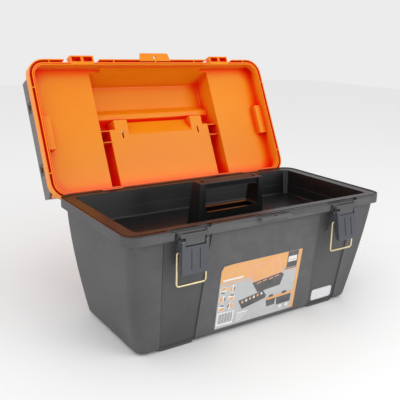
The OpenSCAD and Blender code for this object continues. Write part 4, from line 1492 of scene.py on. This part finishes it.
    def _catch(self, x: float) -> bpy.types.Mesh:
        """Hollow catch that a wire hooks over.

        Args:
            x: Its middle.

        Returns:
            The mesh, on the closed lid.
        """
        top, front, half = self.catch_top, -130.2, 22.4
        outline = [(x - half, 0), (x + half, 0), (x + half, top - 1.2), (x + half - 1.2, top),
                   (x - half + 1.2, top), (x - half, top - 1.2)]
        catch = Carving(Solids.prism(Axis.Y, outline, front, -113.2, 0.4))
        catch.add(Solids.block((x - half, front, 0), (x + half, front + 2, top + 2.6), 0.6))
        for k in (-1, 1):
            catch.cut(Solids.block((x + k * 11 - 8.6, -127.8, -2), (x + k * 11 + 8.6, -119, top - 2.2), 0.5))
        return catch.done()

    def _fittings(self, side: Side) -> None:
        """Make one organiser's grid, cover and clips.

        Args:
            side: The organiser's side.
        """
        s, word, middle = side.value, side.word, self.middle
        low, high = self.slab + self.wall + 0.05, self.cover_top - 4
        inner, outer = self.hump_x + 2.3, self.finger_in - 2.3
        grid = Carving(Solids.span(about(s * 182, 0.8), (self.front_y + 2.3, self.rear_y - 2.3),
                                   (low, high), 0.2))
        for k in self.rows:
            for start, top in ((inner, self.sweep_low), (self.sweep_out, high)):
                grid.add(Solids.span(outwards(s, start, outer), about(middle + k, 0.8), (low, top), 0.2))
        self.shop.add("organiser_grid_moulding_" + word, self.placed(shaded(grid.done())), "lid",
                      "lid_orange", ["organiser_grid_" + word])
        self.shop.add("cover_moulding_" + word, self.placed(shaded(self._cover(s, middle))), "cover_" + word,
                      "smoke_clear", ["organiser_cover_" + word])
        clip_x = s * self.clip_x
        for y, end in zip(about(middle, self.clip_y), ("front", "rear")):
            clip = Carving(Solids.span(about(clip_x, 1), about(y, 8.8), (22.8, 39.8), 0.4))
            clip.cut(Solids.span(about(clip_x, 4), about(y, 5), (27, 34), 0.3))
            clip.add(Solids.rod(Axis.Y, (clip_x, y, self.clip_z), 0.7, 22, 0.1),
                     Solids.span(about(clip_x + s * 0.6, 0.9), about(y, 8.0), (37.2, 38.6), 0.3))
            name = f"clip_{word}_{end}"
            self.shop.add(name + "_moulding", self.placed(shaded(clip.done())), name, "clip_brown",
                          ["cover_" + name])

    def _cover(self, s: int, middle: float) -> bpy.types.Mesh:
        """Smoked cover of one organiser.

        Args:
            s: -1 for the left, 1 for the right.
            middle: The organiser's middle, front to back.

        Returns:
            The mesh, on the closed lid.
        """
        top, y0, y1 = self.cover_top, self.front_y - 2.6, self.rear_y + 2.6
        reach, end_x = outwards(s, self.cover_in, 249), s * self.clip_x
        cover = Carving(Solids.span(reach, (y0, y1), (top - 2.2, top), 0.8))
        for y in (y0, y1 - 2):
            cover.add(Solids.span(reach, (y, y + 2), (top - 9, top - 1)))
        low = self.edge + 1
        end = [(y0 + 6, low), (y1 - 6, low), (y1 - 1.7, low + 1.8), (y1, low + 6), (y1, top - 1),
               (y0, top - 1), (y0, low + 6), (y0 + 1.7, low + 1.8)]
        cover.add(Solids.prism(Axis.X, end, *about(end_x, 1), 0.35))
        for k in (-1, 1):
            clip, pin = middle + k * self.clip_y, middle + k * self.cover_pin
            cover.add(Solids.rod(Axis.Y, (s * self.cover_x, middle + k * self.cover_lug, self.cover_z),
                                 2.8, 16, 0.3))
            cover.cut(Solids.span(about(end_x, 4), about(clip, 9.6), (22, 40.6), 0.4),
                      Solids.rod(Axis.Y, (end_x, clip, self.clip_z), 0.76, 22.4),
                      Solids.span(about(s * self.cover_x, 4), about(pin, 3.4), (42, 51), 0.3))
        for y in about(middle, self.cover_pin):
            cover.add(Solids.rod(Axis.Y, (s * self.cover_x, y, self.cover_z), 1.5, 14, 0.2))
        for k in self.rows:
            cover.add(Solids.prism(Axis.Y, [(s * 248.4, 17), (s * 248.4, 24), (s * 251, 17)],
                                   *about(middle + k, 0.7), 0.15))
        return cover.done()

    def _handle(self) -> None:
        """Make the carry handle, hanging out of its recess."""
        hanging = math.radians(-self.shop.joints["carry_handle_swing"]["range_deg"][0])
        cy, cz, mid = self.swing_y, self.swing_z, (self.ear_in + self.ear_out) / 2
        far, below = cy + 86.0, (cz - 30, cz - 7)
        bar = Carving(Solids.rod(Axis.X, (0, far, cz + 1), 11.0, 185, 3.0, 40))
        bar.cut(Solids.span((-110, 110), about(far, 20), below, 0.0))
        for s in (-1, 1):
            arm = [(cy - 1, cz - 6.0), (far, cz - 7), (far + 8, cz + 1), (far, cz + 9), (cy - 1, cz + 6.0)]
            bar.add(Solids.prism(Axis.X, arm, *about(s * mid, 8.5), 1.6, 3),
                    Solids.rod(Axis.X, (s * mid, cy, cz), 6.8, 20, 0.8),
                    Solids.rod(Axis.X, (s * mid, cy, cz), 3.0, 28, 0.3))
        for x in range(-60, 61, 8):
            bar.add(Solids.rod(Axis.X, (x, far, cz + 1), 11.35, 2.4, 0.5, 40))
        bar.cut(Solids.span((-110, 110), about(far, 20), below, 0.0))
        swing = Matrix.Translation(Vector((0, cy, cz)) * MM)
        out = swing @ Matrix.Rotation(hanging, 4, "X") @ swing.inverted()
        self.shop.add("carry_handle_moulding", self.placed(turned(shaded(bar.done()), out)), "carry_handle",
                      "grip_black", ["carry_handle"])


# ---------------------------------------------------------------- studio


@dataclass
class Studio:
    """Pale floor, soft lights and the camera."""

    camera_at: Point = (-0.5814, -0.77245, 0.45399)
    yaw: float = 0.600247
    pitch: float = -0.268166
    roll: float = 0.0293695
    lens: float = 53.35
    floor_size: float = 9.0

    def build(self) -> None:
        """Make the floor, the lights and the camera."""
        bpy.context.scene.view_settings.view_transform = "Standard"
        self._floor()
        self._world()
        self._light("key", (1.05, -1.5, 1.15), (0.0, 0.0, 0.2), 1.0, 6.5)
        self._light("fill", (-2.0, -0.3, 1.1), (0.0, 0.0, 0.1), 1.6, 9.0)
        self._light("front", (0.10, -0.78, 0.55), (0.0, -0.12, 0.17), 0.35, 0.8)
        self._light("top", (0.0, -0.3, 2.2), (0.0, 0.0, 0.0), 1.2, 2.5)
        self._camera()

    def _floor(self) -> None:
        """Lay the pale floor."""
        mesh = bpy.data.meshes.new("floor")
        half = self.floor_size / 2
        mesh.from_pydata([(-half, -half, 0), (half, -half, 0), (half, half, 0), (-half, half, 0)], [],
                         [(0, 1, 2, 3)])
        floor = bpy.data.objects.new("floor", mesh)
        bpy.context.scene.collection.objects.link(floor)
        pale = bpy.data.materials.new("floor_pale")
        pale.use_nodes = True
        shader = pale.node_tree.nodes["Principled BSDF"]
        shader.inputs["Base Color"].default_value = (0.94, 0.94, 0.94, 1.0)
        shader.inputs["Roughness"].default_value = 0.9
        mesh.materials.append(pale)

    def _world(self) -> None:
        """Fill the room with even pale light."""
        world = bpy.data.worlds.new("studio")
        bpy.context.scene.world = world
        world.use_nodes = True
        back = world.node_tree.nodes["Background"]
        back.inputs["Color"].default_value = (0.93, 0.93, 0.93, 1.0)
        back.inputs["Strength"].default_value = 0.90

    @staticmethod
    def _light(name: str, at: Point, towards: Point, size: float, power: float) -> None:
        """Hang one soft square light.

        Args:
            name: The light's name.
            at: Where it hangs.
            towards: The point that it faces.
            size: Its width in metres.
            power: Its power in watts.
        """
        lamp = bpy.data.lights.new(name, "AREA")
        lamp.size = size
        lamp.energy = power
        holder = bpy.data.objects.new(name, lamp)
        holder.location = at
        holder.rotation_euler = (Vector(towards) - Vector(at)).to_track_quat("-Z", "Y").to_euler()
        bpy.context.scene.collection.objects.link(holder)

    def _camera(self) -> None:
        """Set up the camera."""
        sensor = bpy.data.cameras.new("camera")
        sensor.lens = self.lens
        sensor.sensor_width = 36.0
        sensor.sensor_fit = "HORIZONTAL"
        sensor.clip_start = 0.05
        holder = bpy.data.objects.new("camera", sensor)
        ahead = Vector((math.sin(self.yaw) * math.cos(self.pitch), math.cos(self.yaw) * math.cos(self.pitch),
                        math.sin(self.pitch)))
        right = Vector((math.cos(self.yaw), -math.sin(self.yaw), 0.0))
        up = right.cross(ahead)
        across = math.cos(self.roll) * right + math.sin(self.roll) * up
        over = -math.sin(self.roll) * right + math.cos(self.roll) * up
        turn = Matrix((across, over, -ahead)).transposed()
        holder.matrix_world = Matrix.Translation(self.camera_at) @ turn.to_4x4()
        bpy.context.scene.collection.objects.link(holder)
        bpy.context.scene.camera = holder


def main() -> None:
    """Build the whole toolbox in order and report each piece."""
    logging.basicConfig(level=logging.INFO, format="%(name)s: %(message)s", stream=sys.stdout)
    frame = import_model()
    shop = Workshop(frame, Palette())
    Studio().build()
    Tub(shop).build()
    Tray(shop).build()
    for side in Side:
        Latch(shop, side).build()
    Lid(shop).build()
    LOG.info("%d pieces built", shop.count)


if __name__ == "__main__":
    main()
